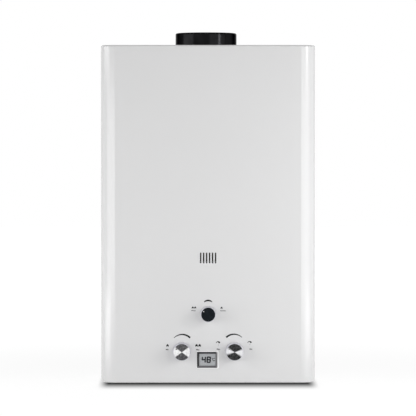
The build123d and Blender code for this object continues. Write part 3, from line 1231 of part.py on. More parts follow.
def knob(x, z, face, base):
    """Hollow tapered knob with a hub for the shaft and a seat for its disc."""
    height = KNOB_REACH - KNOB_GAP
    inner_height = height - KNOB_FRONT_WALL
    wall = KNOB_WALL
    outline = [(0, 0), (base, 0), (base, KNOB_HUB_RECESS), (face, height), (0, height)]
    body = revolve(make_face(Polyline(*[(r, 0, h) for r, h in outline], close=True)), Axis.Z)
    body = fillet(body.edges().group_by(Axis.Z)[-1], KNOB_EDGE)
    hollow = [(KNOB_HUB_RADIUS, 0), (base - wall, 0), (face - wall, inner_height),
              (KNOB_HUB_RADIUS, inner_height)]
    body -= revolve(make_face(Polyline(*[(r, 0, h) for r, h in hollow], close=True)), Axis.Z)
    body -= Pos(0, 0, KNOB_HUB_RECESS / 2) * Cylinder(KNOB_HUB_RADIUS, KNOB_HUB_RECESS)
    body -= extrude(d_section(SHAFT_FIT), SHAFT_IN_HUB + KNOB_HUB_RECESS)
    body -= Pos(0, 0, height - KNOB_DISC / 2) * Cylinder(face - KNOB_RIM, KNOB_DISC)
    return front_plane(x, z, -KNOB_GAP).location * body


def knob_disc(x, z, face):
    """Thin disc let into the knob's face."""
    disc = Circle(face - KNOB_RIM - SHAFT_FIT)
    return front_plate(disc, x, z, -KNOB_REACH, -KNOB_REACH + KNOB_DISC)


def spindle(x, z, plug_near, plug_far, plug_radius):
    """Shaft with a valve plug at its inner end and a D-shaped outer end."""
    hub_start = KNOB_GAP + KNOB_HUB_RECESS
    shaft = rod(SHAFT_RADIUS, (x, FRONT_Y - hub_start, z), (x, plug_near, z))
    shaft += extrude(front_plane(x, z, -hub_start) * d_section(0), SHAFT_IN_HUB - LINK_CLEARANCE)
    return shaft + rod(plug_radius, (x, plug_near, z), (x, plug_far, z))


def spindle_bonnets():
    """Plates that keep the three spindles in their bores."""
    bonnets = []
    for x in (-KNOB_SPREAD, KNOB_SPREAD):
        start, end = (x, BOSS_END_Y - BONNET, KNOB_Z), (x, BOSS_END_Y, KNOB_Z)
        bonnets.append(hexagon(BONNET_RADIUS, SHAFT_RADIUS + SHAFT_FIT, start, end))
    near = SEASON_FRONT - SEASON_BONNET - FRONT_Y
    plate = Rectangle(SEASON_BLOCK_HEIGHT, SEASON_BLOCK_HEIGHT) - Circle(SHAFT_RADIUS + SHAFT_FIT)
    bonnets.append(front_plate(plate, 0, SEASON_Z, near, near + SEASON_BONNET))
    return bonnets


# ----------------------------------------------------------------------- build
os.makedirs("parts", exist_ok=True)

save("front_cover", front_cover())
save("back_plate", back_plate())
save("top_plate", top_plate())
save("bottom_plate", bottom_plate())
save("screws", *cover_screws(), *clamp_screws())

save("flue_collar", flue_collar())
save("draft_hood", draft_hood())
save("exchanger_shell", exchanger_shell())
save("exchanger_fins", exchanger_fins())
save("exchanger_tubes", exchanger_tubes())
save("chamber_coil", chamber_coil())
save("rear_brackets", rear_channel(BURNER_BASE + BURNER_BRACKET_RISE),
     rear_channel(BURNER_TOP + EXCHANGER_BRACKET_RISE))
save("overheat_thermostat", overheat_thermostat())

save("burner_frame", burner_frame())
save("burner_bars", *[burner_bar(x) for x in burner_positions()])
save("gas_manifold", gas_manifold())
save("gas_nozzles", *gas_nozzles())
save("season_valve_body", season_valve_body())

save("gas_valve_body", gas_valve_body())
save("gas_valve_cap", gas_valve_cap())
save("gas_poppet", gas_poppet())
save("valve_return_spring", valve_return_spring())
save("gas_feed_pipe", gas_feed_pipe())
save("gas_inlet_fitting", pipe_fitting(GAS_INLET_X, LINK_Y, VALVE_FOOT_Z, FITTING_BORE))

save("water_valve_body", water_valve_body())
save("water_valve_cover", water_valve_cover())
save("diaphragm", diaphragm())
save("push_rod", push_rod())
save("cold_water_pipe", cold_water_pipe())
save("hot_water_pipe", hot_water_pipe())
save("water_temperature_sensor", water_temperature_sensor())
save("cold_inlet_fitting", pipe_fitting(WATER_INLET_X, LINK_Y, VALVE_FOOT_Z, FITTING_BORE))
save("hot_outlet_fitting", pipe_fitting(HOT_X, HOT_Y, HOT_SOCKET_Z, PIPE_RADIUS - PIPE_WALL))
save("pipe_nuts", *pipe_nuts())
save("drain_plug", drain_plug())

save("microswitch", microswitch())
save("microswitch_lever", microswitch_lever())
save("microswitch_bracket", microswitch_bracket())

save("igniter_box", igniter_box())
save("ignition_lead", ignition_lead())
save("electrodes", electrode(-ELECTRODE_SPREAD), electrode(ELECTRODE_SPREAD))
save("electrode_bracket", *electrode_bracket())

save("battery_box", battery_box())
save("battery_cells", *battery_cells())
save("battery_contacts", *battery_contacts())
save("battery_door", battery_door(), battery_door_strip())

save("display_bezel", display_bezel())
save("display_glass", window(GLASS_EDGE, GLASS_EDGE, GLASS_DEPTH, GLASS_REAR))
save("display_board", window(GLASS_EDGE, GLASS_EDGE, GLASS_REAR, PANEL_REAR)
     + window(BOARD_EDGE, BOARD_EDGE, PANEL_REAR, BOARD_REAR))
save("display_housing", display_housing())

LOWER_PLUG = BOSS_BORE - PLUG_FIT
SEASON_PLUG = SEASON_BORE - PLUG_FIT
SEASON_PLUG_FAR = SEASON_FRONT + SEASON_BORE_DEPTH - LINK_CLEARANCE
for side_name, knob_x in (("gas", -KNOB_SPREAD), ("water", KNOB_SPREAD)):
    save(f"{side_name}_knob", knob(knob_x, KNOB_Z, KNOB_FACE_RADIUS, KNOB_BASE_RADIUS))
    save(f"{side_name}_knob_disc", knob_disc(knob_x, KNOB_Z, KNOB_FACE_RADIUS))
    save(f"{side_name}_spindle",
         spindle(knob_x, KNOB_Z, BOSS_END_Y, BOSS_END_Y + PLUG_LENGTH, LOWER_PLUG))
save("season_knob", knob(0, SEASON_Z, SEASON_FACE_RADIUS, SEASON_BASE_RADIUS))
save("season_knob_cap", knob_disc(0, SEASON_Z, SEASON_FACE_RADIUS))
save("season_spindle", spindle(0, SEASON_Z, SEASON_FRONT, SEASON_PLUG_FAR, SEASON_PLUG))
save("spindle_bonnets", *spindle_bonnets())
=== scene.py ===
"""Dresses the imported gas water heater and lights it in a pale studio.

Lengths of pieces are in millimetres, and those of lamps, floor and shaders in metres.
"""

import json
import logging
import math
from collections.abc import Callable
from dataclasses import dataclass, field
from enum import Enum
from functools import cache
from typing import Any, Protocol

import bmesh
import bpy
import numpy as np
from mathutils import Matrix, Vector


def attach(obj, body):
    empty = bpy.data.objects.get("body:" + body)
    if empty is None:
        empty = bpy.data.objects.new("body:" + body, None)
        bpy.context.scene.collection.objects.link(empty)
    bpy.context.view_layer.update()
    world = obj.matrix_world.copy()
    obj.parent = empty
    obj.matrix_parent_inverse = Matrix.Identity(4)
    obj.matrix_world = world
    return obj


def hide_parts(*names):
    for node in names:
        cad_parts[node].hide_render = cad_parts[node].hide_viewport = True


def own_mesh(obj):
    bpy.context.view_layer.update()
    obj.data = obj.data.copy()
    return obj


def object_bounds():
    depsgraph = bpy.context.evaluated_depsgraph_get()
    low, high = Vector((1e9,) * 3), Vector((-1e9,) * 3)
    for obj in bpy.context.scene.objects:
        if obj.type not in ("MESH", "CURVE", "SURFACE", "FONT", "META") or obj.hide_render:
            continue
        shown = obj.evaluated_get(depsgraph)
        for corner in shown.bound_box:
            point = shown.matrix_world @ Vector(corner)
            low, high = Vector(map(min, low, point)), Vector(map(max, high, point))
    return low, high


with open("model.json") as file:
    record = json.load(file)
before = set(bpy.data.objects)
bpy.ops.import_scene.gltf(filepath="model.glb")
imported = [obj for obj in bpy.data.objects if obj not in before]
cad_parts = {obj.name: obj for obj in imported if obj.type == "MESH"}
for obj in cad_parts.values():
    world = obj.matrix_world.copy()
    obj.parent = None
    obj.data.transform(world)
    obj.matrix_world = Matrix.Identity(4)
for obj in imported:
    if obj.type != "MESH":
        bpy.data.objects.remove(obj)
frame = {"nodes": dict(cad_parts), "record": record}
CAD_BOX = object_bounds()
NODE_SLOT = {part["node"]: part["material_slot"] for part in frame["record"]["subparts"]}

LOG = logging.getLogger("heater")
MM = 0.001
ROOT = "heater"
FRONT_FACE = -76.0  # Y of the case's front
KNOB_FACE = -100.0  # Y of the knobs' faces
NOISE_MIDDLE = 0.5
MERGE_WITHIN = 1e-7  # metres
SMOOTH_UP_TO = 35.0  # degrees
SIZE_TO_CAPITAL = 1.42  # letter size over the height of a capital

Colour = tuple[float, float, float]
Point = tuple[float, float, float]
Pair = tuple[float, float]
Shell = tuple[np.ndarray, list]  # points, and the corner numbers of each face


# ---- shader maths
def math_node(operation: str, swapped: bool = False) -> Callable[..., "ShaderMath"]:
    """Makes a method of ShaderMath that adds one Math node.

    Args:
        operation: Blender's name of the operation.
        swapped: Whether the values are taken in reverse order.

    Returns:
        The method, which takes the values that follow self.
    """
    def method(self: "ShaderMath", *others: Any) -> "ShaderMath":
        """Result of the operation on self and the other values."""
        values = (self, *others)
        inputs = dict(enumerate(reversed(values) if swapped else values))
        node = self.nodes.node("ShaderNodeMath", {"operation": operation}, inputs)
        return ShaderMath(self.nodes, node.outputs[0])

    return method


class ShaderMath:
    """A number that varies over a surface: an output socket that takes part in sums."""

    def __init__(self, nodes: "Nodes", socket: bpy.types.NodeSocket) -> None:
        """Wraps a socket.

        Args:
            nodes: The nodes that new Math nodes are added to.
            socket: The output socket that carries the number.
        """
        self.nodes = nodes
        self.socket = socket

    __add__ = __radd__ = math_node("ADD")
    __mul__ = __rmul__ = math_node("MULTIPLY")
    __sub__ = math_node("SUBTRACT")
    __rsub__ = math_node("SUBTRACT", swapped=True)
    __truediv__ = math_node("DIVIDE")
    __pow__ = math_node("POWER")
    __abs__ = math_node("ABSOLUTE")
    sine = math_node("SINE")
    at_most = math_node("MINIMUM")
    at_least = math_node("MAXIMUM")

    def clamped(self) -> "ShaderMath":
        """Self kept between 0 and 1."""
        return self.at_most(1.0).at_least(0.0)

    def rising(self, low: float, high: float) -> "ShaderMath":
        """Smooth step from 0 at low to 1 at high.

        Args:
            low: Value where the step starts.
            high: Value where it ends.

        Returns:
            t * t * (3 - 2 t), with t the share of the way from low to high.
        """
        share = ((self - low) * (1.0 / (high - low))).clamped()
        return share * share * (3.0 - 2.0 * share)


class Nodes:
    """The nodes of a material or a world."""

    def __init__(self, tree: bpy.types.NodeTree) -> None:
        """Starts with an empty tree.

        Args:
            tree: The tree, which is cleared.
        """
        self.tree = tree
        self.tree.nodes.clear()

    def node(self, kind: str, settings: dict[str, Any] | None = None,
             inputs: dict[Any, Any] | None = None) -> bpy.types.Node:
        """Adds a node.

        Args:
            kind: Blender's node type.
            settings: The node's own settings, set first.
            inputs: Value, socket or ShaderMath for each input, by name or number.

        Returns:
            The new node.
        """
        node = self.tree.nodes.new(kind)
        for key, value in (settings or {}).items():
            setattr(node, key, value)
        for key, value in (inputs or {}).items():
            socket = value.socket if isinstance(value, ShaderMath) else value
            if isinstance(socket, bpy.types.NodeSocket):
                self.tree.links.new(socket, node.inputs[key])
            else:
                node.inputs[key].default_value = socket
        return node

    def rays(self) -> tuple[ShaderMath, ShaderMath]:
        """Tells which rays arrive.

        Returns:
            1 for rays from the camera, and 1 for these and for mirrored and
            transmitted rays.
        """
        path = self.node("ShaderNodeLightPath").outputs
        camera, mirrored, through = (ShaderMath(self, path[f"Is {kind} Ray"])
                                     for kind in ("Camera", "Glossy", "Transmission"))
        return camera, (camera + mirrored + through).clamped()


class Shader(Nodes):
    """One material in the making, around a Principled shader."""

    def __init__(self, name: str, **constants: Any) -> None:
        """Starts the material.

        Args:
            name: Name of the material.
            constants: Values for the Principled shader's own sockets, with _ for a space.
        """
        self.material = bpy.data.materials.new(name)
        self.material.use_nodes = True
        super().__init__(self.material.node_tree)
        self.surface = self.node("ShaderNodeBsdfPrincipled")
        self.output = self.node("ShaderNodeOutputMaterial", None,
                                {"Surface": self.surface.outputs[0]})
        for key, value in constants.items():
            socket = self.surface.inputs[key.replace("_", " ")]
            socket.default_value = (*value, 1.0) if isinstance(value, tuple) else value

    def place(self, centre: Point = (0.0, 0.0, 0.0), turn: Point = (0.0, 0.0, 0.0),
              stretch: Point = (1.0, 1.0, 1.0)) -> bpy.types.NodeSocket:
        """Object coordinates in metres, centred, turned and stretched.

        Args:
            centre: Point that becomes the origin.
            turn: Rotation in radians about each axis.
            stretch: Factor along each axis.

        Returns:
            The vector socket.
        """
        texture = self.node("ShaderNodeTexCoord")
        centred = self.node("ShaderNodeMapping", None, {
            "Vector": texture.outputs["Object"],
            "Location": tuple(-value for value in centre)})
        return self.node("ShaderNodeMapping", None, {
            "Vector": centred.outputs[0], "Rotation": turn, "Scale": stretch}).outputs[0]

    def noise(self, vector: bpy.types.NodeSocket, scale: float, detail: float = 2.0) -> ShaderMath:
        """Smooth noise about NOISE_MIDDLE.

        Args:
            vector: Where it is read.
            scale: Cycles to the metre.
            detail: Octaves.

        Returns:
            The noise.
        """
        node = self.node("ShaderNodeTexNoise", None,
                         {"Vector": vector, "Scale": scale, "Detail": detail})
        return ShaderMath(self, node.outputs[0])

    def axes(self, vector: bpy.types.NodeSocket) -> tuple[ShaderMath, ShaderMath, ShaderMath]:
        """The three parts of a vector."""
        node = self.node("ShaderNodeSeparateXYZ", None, {0: vector})
        return tuple(ShaderMath(self, socket) for socket in node.outputs)

    def feed(self, name: str, value: Any) -> None:
        """Links a socket or a ShaderMath to one of the Principled inputs."""
        socket = value.socket if isinstance(value, ShaderMath) else value
        self.tree.links.new(socket, self.surface.inputs[name])

    def blend(self, share: ShaderMath, first: Colour, second: Colour) -> None:
        """Makes the base colour lie between two linear colours.

        Args:
            share: 0 for the first, 1 for the second.
            first: One colour.
            second: The other colour.
        """
        node = self.node("ShaderNodeMix", {"data_type": "RGBA"},
                         {0: share, 6: (*first, 1.0), 7: (*second, 1.0)})
        self.feed("Base Color", node.outputs[2])

    def tint(self, share: ShaderMath, colour: Colour, low: float, high: float) -> None:
        """Varies the brightness of the base colour.

        Args:
            share: 0 for the darker end, 1 for the lighter.
            colour: Linear colour.
            low: Factor at the darker end.
            high: Factor at the lighter end.
        """
        ends = [tuple(min(1.0, part * factor) for part in colour) for factor in (low, high)]
        self.blend(share, *ends)

    def relief(self, height: ShaderMath, depth: float, strength: float = 1.0) -> None:
        """Bumps the surface.

        Args:
            height: Height, 0 to 1.
            depth: Metres between 0 and 1.
            strength: Share of the bump that is kept.
        """
        node = self.node("ShaderNodeBump", None,
                         {"Height": height, "Distance": depth, "Strength": strength})
        self.feed("Normal", node.outputs[0])


# ---- finishes
class Finish(Protocol):
    """Anything that can be made into a material."""

    def make(self, name: str) -> bpy.types.Material:
        """Builds the material under a name."""


@dataclass(frozen=True)
class PowderCoat:
    """Semi-gloss baked powder: faint orange peel and a slow drift of tone."""

    colour: Colour
    roughness: float = 0.17
    specular: float = 0.9
    peel: float = 620.0
    depth: float = 0.00001
    drift: float = 7.0
    tone: float = 0.015
    swing: float = 0.08

    def make(self, name: str) -> bpy.types.Material:
        """Builds the material under a name."""
        shader = Shader(name, Specular_IOR_Level=self.specular)
        where = shader.place()
        drift = shader.noise(where, self.drift)
        peel = shader.noise(where, self.peel, 1.0)
        shader.tint(drift, self.colour, 1.0 - self.tone, 1.0 + self.tone)
        shader.feed("Roughness", self.roughness + (peel - NOISE_MIDDLE) * self.swing)
        shader.relief(peel, self.depth)
        return shader.material


@dataclass(frozen=True)
class GlossEnamel:
    """Glassy enamel with slight waves and rare dust in it; its base colour is lightened at the
    dust, and over the wave crests as painted sheen.
    """

    colour: Colour
    roughness: float = 0.12
    wave: float = 45.0
    edge: Colour = (0.45, 0.45, 0.45)
    dust: float = 900.0
    dust_and_sheen: float = 2.2
    depth: float = 0.0002

    def make(self, name: str) -> bpy.types.Material:
        """Builds the material under a name."""
        shader = Shader(name, Metallic=1.0, Specular_Tint=self.edge)
        where = shader.place()
        wave = shader.noise(where, self.wave)
        dust = shader.noise(where, self.dust).rising(0.7, 0.78)
        # lighter at the dust, and over the wave crests as painted sheen
        share = (dust + wave.rising(0.35, 0.7) * 0.4).clamped()
        shader.tint(share, self.colour, 1.0, self.dust_and_sheen)
        shader.feed("Roughness", self.roughness + dust * 0.2 + wave * 0.05)
        shader.relief(wave, self.depth, 0.5)
        return shader.material


@dataclass(frozen=True)
class SpangledSheet:
    """Hot-dip galvanised sheet: flat crystals of different grey and gloss."""

    colour: Colour
    crystal: float = 95.0
    ragged: float = 60.0
    throw: float = 0.012
    skin: float = 500.0
    depth: float = 0.00002

    def make(self, name: str) -> bpy.types.Material:
        """Builds the material under a name."""
        shader = Shader(name, Metallic=0.85)
        where = shader.place()
        drift = shader.node("ShaderNodeTexNoise", None, {"Vector": where, "Scale": self.ragged})
        warp = shader.node("ShaderNodeVectorMath", {"operation": "MULTIPLY_ADD"},
                           {0: drift.outputs[1], 1: (self.throw,) * 3, 2: where})
        cells = shader.node("ShaderNodeTexVoronoi", None,
                            {"Vector": warp.outputs[0], "Scale": self.crystal})
        red, _, blue = shader.axes(cells.outputs["Color"])
        shader.tint(red, self.colour, 0.78, 1.12)
        shader.feed("Roughness", 0.32 + blue * 0.2)
        shader.relief(shader.noise(where, self.skin), self.depth)
        return shader.material


@dataclass(frozen=True)
class DrawnMetal:
    """Rolled, pressed or turned metal with fine lines across one direction."""

    colour: Colour
    roughness: float = 0.3
    stretch: Point = (40.0, 40.0, 1200.0)
    tarnish: Colour = (0.5, 0.5, 0.5)
    tarnish_share: float = 0.25
    stain: float = 38.0
    depth: float = 0.00003

    def make(self, name: str) -> bpy.types.Material:
        """Builds the material under a name."""
        shader = Shader(name, Metallic=1.0)
        lines = shader.noise(shader.place(stretch=self.stretch), 1.0)
        stain = shader.noise(shader.place(), self.stain, 4.0).rising(0.45, 0.75)
        shader.blend(stain * self.tarnish_share, self.colour, self.tarnish)
        shader.feed("Roughness", self.roughness + lines * 0.12 + stain * 0.08)
        shader.relief(lines, self.depth, 0.6)
        return shader.material


@dataclass(frozen=True)
class GrainedSkin:
    """Cast metal, moulded plastic, rubber or glazed ceramic with a fine grain."""

    colour: Colour
    roughness: float = 0.45
    grain: float = 1500.0
    depth: float = 0.00004
    metallic: float = 0.0
    detail: float = 2.0
    cloud: float = 25.0
    dark: float = 0.92
    bright: float = 1.08
    swing: float = 0.12

    def make(self, name: str) -> bpy.types.Material:
        """Builds the material under a name."""
        shader = Shader(name, Metallic=self.metallic)
        where = shader.place()
        grain = shader.noise(where, self.grain, self.detail)
        cloud = shader.noise(where, self.cloud)
        shader.tint(cloud, self.colour, self.dark, self.bright)
        shader.feed("Roughness", self.roughness + (grain - NOISE_MIDDLE) * self.swing)
        shader.relief(grain, self.depth)
        return shader.material


@dataclass(frozen=True)
class SpunDiscPaintedSheen:
    """Disc spun on a lathe: fine rings, and a painted sheen in the base colour, bright in two
    opposite fans and dark between them.
    """

    centre: Point
    # bright and dark: colours of the painted highlight fans and of the painted dark sectors between
    # them
    bright: Colour
    dark: Colour
    fan: float = 0.80
    edge: float = 0.07
    tilt: float = 0.0
    mottle: float = 0.8
    streaks: float = 160.0
    sway: float = 0.12
    grooves: float = 9000.0
    specks: float = 290.0
    depth: float = 0.00001

    def make(self, name: str) -> bpy.types.Material:
        """Builds the material under a name.

        Args:
            name: Name of the material.

        Returns:
            A material whose tone follows the angle round the centre, as painted
            sheen. With c the share of the radius that lies along the fans' axis,
            which the tilt in degrees turns from X, the bright fans of painted
            highlight are where c is above the fan value, with painted dark
            reflection between them, and soft streaks, rings and a mottled grain
            are laid over them.
        """
        shader = Shader(name, Metallic=0.75)
        where = shader.place(self.centre, (0.0, math.radians(self.tilt), 0.0))
        x, _, z = shader.axes(where)
        radius = (x * x + z * z) ** 0.5
        lean = abs(x) / (radius + 0.00001)
        stretch = (self.streaks, 1.0, self.streaks)
        streak = shader.noise(shader.place(self.centre, stretch=stretch), 1.0)
        lean = lean + (streak - NOISE_MIDDLE) * self.sway
        fans = lean.rising(self.fan - self.edge, self.fan + self.edge)
        rings = (radius * self.grooves).sine() * 0.5 + 0.5
        grain = (shader.noise(where, self.specks, 3.0) - NOISE_MIDDLE) * self.mottle * 2.0
        # painted sheen: lighter base colour in the fans as a highlight, dark elsewhere as a
        # reflection
        sheen = (fans * (0.90 + grain * 0.5) + grain * 0.3 + 0.03).clamped()
        shader.blend(sheen, self.dark, self.bright)
        shader.feed("Roughness", 0.3 + rings * 0.08)
        shader.relief(rings, self.depth)
        return shader.material


@dataclass(frozen=True)
class BezelWithPaintedLight:
    """Moulded bezel with painted light: its right member is painted lighter, and its lower member
    partly so, as if they caught the light.
    """

    centre: Point
    reach: Pair
    colour: Colour
    # right: lighter colour painted on the right member, and in part on the lower one, as painted
    # light
    right: Colour
    below: float = 0.55
    soft: float = 0.0005

    def make(self, name: str) -> bpy.types.Material:
        """Builds the material under a name.

        Args:
            name: Name of the material.

        Returns:
            A material that turns from its colour to the right member's painted lit
            colour past reach in X, and a share of the way past reach in Z below the centre.
        """
        shader = Shader(name, Roughness=0.4, Specular_IOR_Level=0.3)
        x, _, z = shader.axes(shader.place(self.centre))
        right = x.rising(self.reach[0] - self.soft, self.reach[0] + self.soft)
        low = (0.0 - z).rising(self.reach[1] - self.soft, self.reach[1] + self.soft)
        # painted light: lighter right and lower members
        shader.blend((right + low * self.below).clamped(), self.colour, self.right)
        return shader.material


@dataclass(frozen=True)
class ClearPane:
    """Clear flat window with a faint tint."""

    colour: Colour
    alpha: float = 0.1
    haze: float = 300.0

    def make(self, name: str) -> bpy.types.Material:
        """Builds the material under a name."""
        shader = Shader(name, Base_Color=self.colour, Alpha=self.alpha)
        haze = shader.noise(shader.place(), self.haze)
        shader.feed("Roughness", 0.04 + haze * 0.06)
        return shader.material


@dataclass(frozen=True)
class ScreenInk:
    """Screen-printed ink with soft, slightly uneven cover."""

    colour: Colour
    roughness: float = 0.5
    specular: float = 0.15
    cover: float = 700.0

    def make(self, name: str) -> bpy.types.Material:
        """Builds the material under a name."""
        shader = Shader(name, Specular_IOR_Level=self.specular)
        cover = shader.noise(shader.place(), self.cover, 3.0)
        shader.tint(cover, self.colour, 0.8, 1.4)
        shader.feed("Roughness", self.roughness + cover * 0.1)
        return shader.material


FINISHES: dict[str, Finish] = {
    "white_case": PowderCoat((0.72, 0.72, 0.722)),
    "galvanised": SpangledSheet((0.55, 0.565, 0.58)),
    "zinc_screw": DrawnMetal((0.62, 0.62, 0.63), 0.28),
    "black_enamel": GlossEnamel((0.0062, 0.0062, 0.0066), 0.14),
    "aluminised": SpangledSheet((0.52, 0.52, 0.51), 260.0),
    "copper": DrawnMetal((0.72, 0.38, 0.24), 0.32, tarnish=(0.32, 0.14, 0.10)),
    "stainless": DrawnMetal((0.58, 0.57, 0.56), 0.3, tarnish=(0.42, 0.33, 0.24)),
    "brass": DrawnMetal((0.80, 0.60, 0.28), 0.24, tarnish=(0.45, 0.30, 0.14)),
    "cast_alloy": GrainedSkin((0.52, 0.53, 0.54), 0.55, 900.0, 0.00012, 0.9, 3.0, 60.0, 0.85,
                              swing=0.1),
    "rubber": GrainedSkin((0.02, 0.02, 0.02), 0.7, 900.0),
    "knob_silver": GrainedSkin((0.60, 0.60, 0.66), 0.3, 1800.0, 0.00002, 0.35),
    "black_gloss": GlossEnamel((0.010, 0.0125, 0.015), 0.2, 220.0),
    # painted light on the bezel: lighter right and lower members
    "bezel_dark": BezelWithPaintedLight((-0.0011, -0.075, 0.0401), (0.0148, 0.0108), (0.022, 0.022, 0.024),
                              (0.24, 0.24, 0.245)),
    "lcd_glass": ClearPane((0.74, 0.77, 0.80), 0.04),
    "board": GrainedSkin((0.52, 0.535, 0.55), 0.4, 900.0, 0.00001),
    "black_plastic": GrainedSkin((0.018, 0.018, 0.019), 0.5, 1300.0),
    "grey_plastic": GrainedSkin((0.23, 0.23, 0.24), 0.5, 1300.0),
    "ceramic": GrainedSkin((0.78, 0.76, 0.72), 0.22, 500.0, 0.00002),
    "cell_jacket": GrainedSkin((0.03, 0.04, 0.07), 0.25, 700.0, 0.00002),
}
INK = ScreenInk((0.012, 0.012, 0.013))
MARK_WHITE = ScreenInk((0.80, 0.80, 0.80), 0.35)
SEGMENT = ScreenInk((0.012, 0.013, 0.018), 0.3)
# whiter than the case's paint: painted highlight on the display rim
RIM_PAINTED_HIGHLIGHT = GrainedSkin((0.93, 0.93, 0.93), 0.25, 1200.0, 0.00001)
# copper darkened nearly to black: painted shade of the unlit chamber behind the view slots
PAINTED_SHADE_COPPER = DrawnMetal((0.13, 0.09, 0.075), 0.55, tarnish=(0.03, 0.03, 0.03), tarnish_share=0.7)
# Knob discs with painted sheen: bright fans and dark sectors in the base colour
GAS_PAINTED_SHEEN = SpunDiscPaintedSheen((-0.046, -0.1, 0.0552), (0.80, 0.80, 0.80), (0.055, 0.055, 0.058))
WATER_PAINTED_SHEEN = SpunDiscPaintedSheen((0.046, -0.1, 0.0552), (0.76, 0.76, 0.78), (0.004, 0.005, 0.005),
                        0.90, 0.10, -7.0, 0.35)
OWN_FINISH: dict[str, tuple[str, Finish]] = {
    "exchanger_shell": ("painted_shade_copper", PAINTED_SHADE_COPPER),
    "gas_knob_disc": ("gas_disc_painted_sheen", GAS_PAINTED_SHEEN),
    "water_knob_disc": ("water_disc_painted_sheen", WATER_PAINTED_SHEEN),
}


@cache
def material_of(name: str, finish: Finish) -> bpy.types.Material:
    """The material of a finish, made once under its name."""
    return finish.make(name)


def wear(item: bpy.types.Object, name: str, finish: Finish) -> None:
    """Gives every material slot of an object one finish.

    Args:
        item: The object.
        name: Name of the material.
        finish: The finish that makes it.
    """
    if not item.data.materials:
        item.data.materials.append(None)
    for index in range(len(item.data.materials)):
        item.data.materials[index] = material_of(name, finish)


# ---- mesh tools
def piece_from(name: str, points: np.ndarray, faces: list[tuple[int, ...]],
               smooth: bool = True) -> bpy.types.Object:
    """Makes an object at the origin from points in metres.

    Args:
        name: Name of the piece.
        points: Array of points, one row each.
        faces: Corner numbers of each face.
        smooth: Whether the faces are shaded smooth, up to SMOOTH_UP_TO.

    Returns:
        The new object, linked to the scene.
    """
    mesh = bpy.data.meshes.new(name)
    mesh.from_pydata(points.reshape(-1, 3).tolist(), [], faces)
    mesh.validate()
    work = bmesh.new()
    work.from_mesh(mesh)
    bmesh.ops.remove_doubles(work, verts=work.verts, dist=MERGE_WITHIN)
    bmesh.ops.recalc_face_normals(work, faces=work.faces)
    work.to_mesh(mesh)
    work.free()
    if smooth:
        mesh.shade_smooth()
        mesh.set_sharp_from_angle(angle=math.radians(SMOOTH_UP_TO))
    piece = bpy.data.objects.new(name, mesh)
    bpy.context.scene.collection.objects.link(piece)
    return piece


def grid_faces(rows: int, columns: int, around: bool, along: bool) -> list[tuple[int, ...]]:
    """Quads between the points of a grid.

    Args:
        rows: Points in the first direction.
        columns: Points in the second direction.
        around: Whether the last column joins the first.
        along: Whether the last row joins the first.

    Returns:
        Corner numbers of each quad.
    """
    i, j = np.meshgrid(np.arange(rows if along else rows - 1),
                       np.arange(columns if around else columns - 1), indexing="ij")
    below, right = (i + 1) % rows, (j + 1) % columns
    quads = np.stack([i * columns + j, i * columns + right,
                      below * columns + right, below * columns + j], axis=-1)
    return [tuple(quad) for quad in quads.reshape(-1, 4).tolist()]


def on_front(plan: np.ndarray, proud: np.ndarray | float, face: float) -> np.ndarray:
    """Points on a plane that faces the user.

    Args:
        plan: X and Z values in millimetres.
        proud: How far each point stands out of the plane, in millimetres.
        face: Y of the plane in millimetres.

    Returns:
        Array of points in metres.
    """
    y = face - np.broadcast_to(proud, plan.shape[:-1])
    return np.stack([plan[..., 0], y, plan[..., 1]], axis=-1) * MM


def raised_shape(outline: np.ndarray, face: float, thickness: float) -> Shell:
    """Thin prism that stands on a front plane.

    Args:
        outline: (n, 2) array of X and Z in millimetres, in order round the shape.
        face: Y of the plane in millimetres.
        thickness: Height of the prism in millimetres.

    Returns:
        Its points and its faces: the outline near and far, and n quads between.
    """
    n = len(outline)
    faces = [tuple(range(n)), tuple(range(2 * n - 1, n - 1, -1))]
    faces += grid_faces(2, n, True, False)
    sides = [on_front(outline, proud, face) for proud in (thickness, 0.0)]
    return np.concatenate(sides), faces


def joined(shapes: list[Shell]) -> Shell:
    """Puts several (points, faces) pairs into one."""
    points, faces, start = [], [], 0
    for part, polygons in shapes:
        points.append(part.reshape(-1, 3))
        faces += [tuple(start + corner for corner in polygon) for polygon in polygons]
        start += len(points[-1])
    return np.concatenate(points), faces


def full_turn(count: int) -> np.ndarray:
    """Equal steps round a circle, in radians."""
    return np.linspace(0, 2 * math.pi, count, endpoint=False)


def polar(centre: Pair, reach: float | np.ndarray, turn: float | np.ndarray) -> np.ndarray:
    """Points round a centre, on two axes.

    Args:
        centre: The centre.
        reach: Distance from it.
        turn: Angles in radians, counted from the first axis towards the second.

    Returns:
        The points, one pair in each last row.
    """
    return np.stack([centre[0] + reach * np.cos(turn), centre[1] + reach * np.sin(turn)], -1)


def swept_arc(centre: Pair, radius: float, angles: Pair, widths: tuple[float, ...],
              steps: int = 40) -> np.ndarray:
    """Outline of an arc whose width changes along it.

    Args:
        centre: X and Z of the arc's centre in millimetres.
        radius: Radius of its middle line.
        angles: Start and end in degrees, counted from +X towards +Z.
        widths: Widths at equal steps from start to end.
        steps: Points along each side.

    Returns:
        The outer side, radius + width / 2, out, then the inner side back.
    """
    turn = np.radians(np.linspace(*angles, steps))
    width = np.interp(np.linspace(0, 1, steps), np.linspace(0, 1, len(widths)), widths)
    return np.concatenate([polar(centre, radius + sign * width / 2, turn)[::sign]
                           for sign in (1, -1)])


